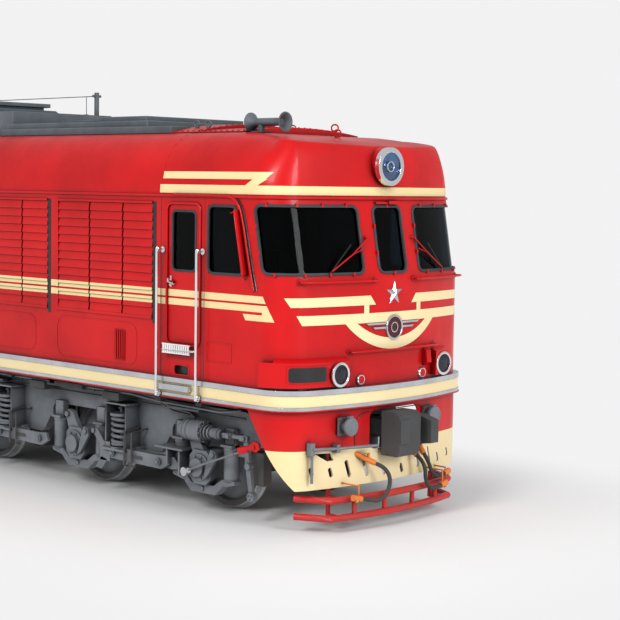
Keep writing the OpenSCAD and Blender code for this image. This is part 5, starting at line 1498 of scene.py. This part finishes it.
def roof_fittings():
    """Rings and bolted edges of the red and grey hatches."""
    bpy.context.view_layer.update()
    red, grey = Shape(), Shape()
    for x, y in ((8.36, 0.0), (7.75, 0.62), (7.75, -0.62)):
        lifting_ring(red, x, y, cab_roof_z(x, y), 0.6)
    for x in (6.75, 6.95):
        for s in (-1, 1):
            lifting_ring(grey, x, s * 0.72, cab_roof_z(x, s * 0.72), 0.2, 0.9)
    red.both_ends().piece("cab_roof_rings", MAT["red"], "body_red", angle=40)
    grey.both_ends().piece("hatch_lifting_rings", MAT["roof"], "roof_grey", angle=40)
    spots = []
    for s in (-1, 1):
        y = s * 0.955
        spots += [(x, y, cab_roof_z(x, y)) for x in (7.14 + 0.094 * k for k in range(7))]
        spots += [(x, y, cab_roof_z(x, y)) for x in (6.66 + 0.095 * k for k in range(5))]
    for k in range(19):
        y = -0.9 + 0.1 * k
        spots += [(7.03, y, cab_roof_z(7.03, y)), (7.74, y, cab_roof_z(7.74, y))]
    spots = [Vector(p) for p in spots] + [Vector((-p[0], -p[1], p[2])) for p in spots]
    scatter("hatch_bolts", spots, bolt_head(), "car_body", MAT["red"])


def cab_roof_z(x, y):
    """Height of whatever lies on top at one place, from the CAD itself."""
    best = 0.0
    for node in ("cab_hatches", "cab_roofs", "roof_hatches", "roof"):
        hit, where, _, _ = made[node].ray_cast(Vector((x, y, 9.0)), Vector((0, 0, -1)))
        if hit:
            best = max(best, where.z)
    return best - 0.001


roof_fittings()


# ---------------------------------------------------------------- floor and light
def studio():
    """A plain pale floor that fades into the background, under soft light."""
    world = bpy.data.worlds.new("studio")
    bpy.context.scene.world = world
    world.use_nodes = True
    tree = world.node_tree
    light = tree.nodes["Background"]
    light.inputs[0].default_value = (0.93, 0.94, 0.95, 1.0)
    light.inputs[1].default_value = 0.62
    seen = tree.nodes.new("ShaderNodeBackground")
    seen.inputs[0].default_value = (*BACKDROP, 1.0)
    path = tree.nodes.new("ShaderNodeLightPath")
    mix = tree.nodes.new("ShaderNodeMixShader")
    tree.links.new(path.outputs["Is Camera Ray"], mix.inputs[0])
    tree.links.new(light.outputs[0], mix.inputs[1])
    tree.links.new(seen.outputs[0], mix.inputs[2])
    tree.links.new(mix.outputs[0], tree.nodes["World Output"].inputs[0])
    bm = bmesh.new()
    bmesh.ops.create_grid(bm, x_segments=1, y_segments=1, size=150.0)
    mesh = bpy.data.meshes.new("floor")
    bm.to_mesh(mesh)
    bm.free()
    floor = bpy.data.objects.new("floor", mesh)
    bpy.context.scene.collection.objects.link(floor)
    mat = bpy.data.materials.new("pale floor")
    mat.use_nodes = True
    tree = mat.node_tree
    near = tree.nodes["Principled BSDF"]
    near.inputs["Base Color"].default_value = (*FLOOR, 1.0)
    near.inputs["Roughness"].default_value = 1.0
    near.inputs["Specular IOR Level"].default_value = 0.0
    far = tree.nodes.new("ShaderNodeEmission")
    far.inputs[0].default_value = (*BACKDROP, 1.0)
    where = tree.nodes.new("ShaderNodeTexCoord")
    split = tree.nodes.new("ShaderNodeSeparateXYZ")
    tree.links.new(where.outputs["Object"], split.inputs[0])
    dx = math_node(tree, "SUBTRACT", math_node(tree, "ABSOLUTE", split.outputs["X"]), 9.3)
    dy = math_node(tree, "SUBTRACT", math_node(tree, "ABSOLUTE", split.outputs["Y"]), 1.5)
    dx = math_node(tree, "MAXIMUM", dx, 0.0)
    dy = math_node(tree, "MAXIMUM", dy, 0.0)
    away = math_node(tree, "SQRT", math_node(tree, "ADD", math_node(tree, "MULTIPLY", dx, dx),
                                             math_node(tree, "MULTIPLY", dy, dy)))
    ramp = tree.nodes.new("ShaderNodeMapRange")
    ramp.interpolation_type = "SMOOTHSTEP"
    ramp.inputs[1].default_value = 0.5
    ramp.inputs[2].default_value = 3.6
    tree.links.new(away, ramp.inputs[0])
    mix = tree.nodes.new("ShaderNodeMixShader")
    tree.links.new(ramp.outputs[0], mix.inputs[0])
    tree.links.new(near.outputs[0], mix.inputs[1])
    tree.links.new(far.outputs[0], mix.inputs[2])
    tree.links.new(mix.outputs[0], tree.nodes["Material Output"].inputs[0])
    mesh.materials.append(mat)
    for label, where_at, aim, size, power in (
            ("key", (13.0, -20.0, 14.0), (5.0, 0.0, 2.0), 7.0, 3000.0),
            ("front", (26.0, -2.0, 9.0), (9.0, 0.0, 2.0), 6.0, 1900.0)):
        lamp = bpy.data.lights.new(label, "AREA")
        lamp.size = size
        lamp.energy = power
        obj = bpy.data.objects.new(label, lamp)
        bpy.context.scene.collection.objects.link(obj)
        obj.location = where_at
        obj.rotation_euler = (Vector(aim) - Vector(where_at)).to_track_quat("-Z", "Y").to_euler()


BACKDROP = (0.890, 0.890, 0.890)
FLOOR = (0.80, 0.80, 0.80)
studio()
bpy.context.scene.view_settings.view_transform = "Standard"
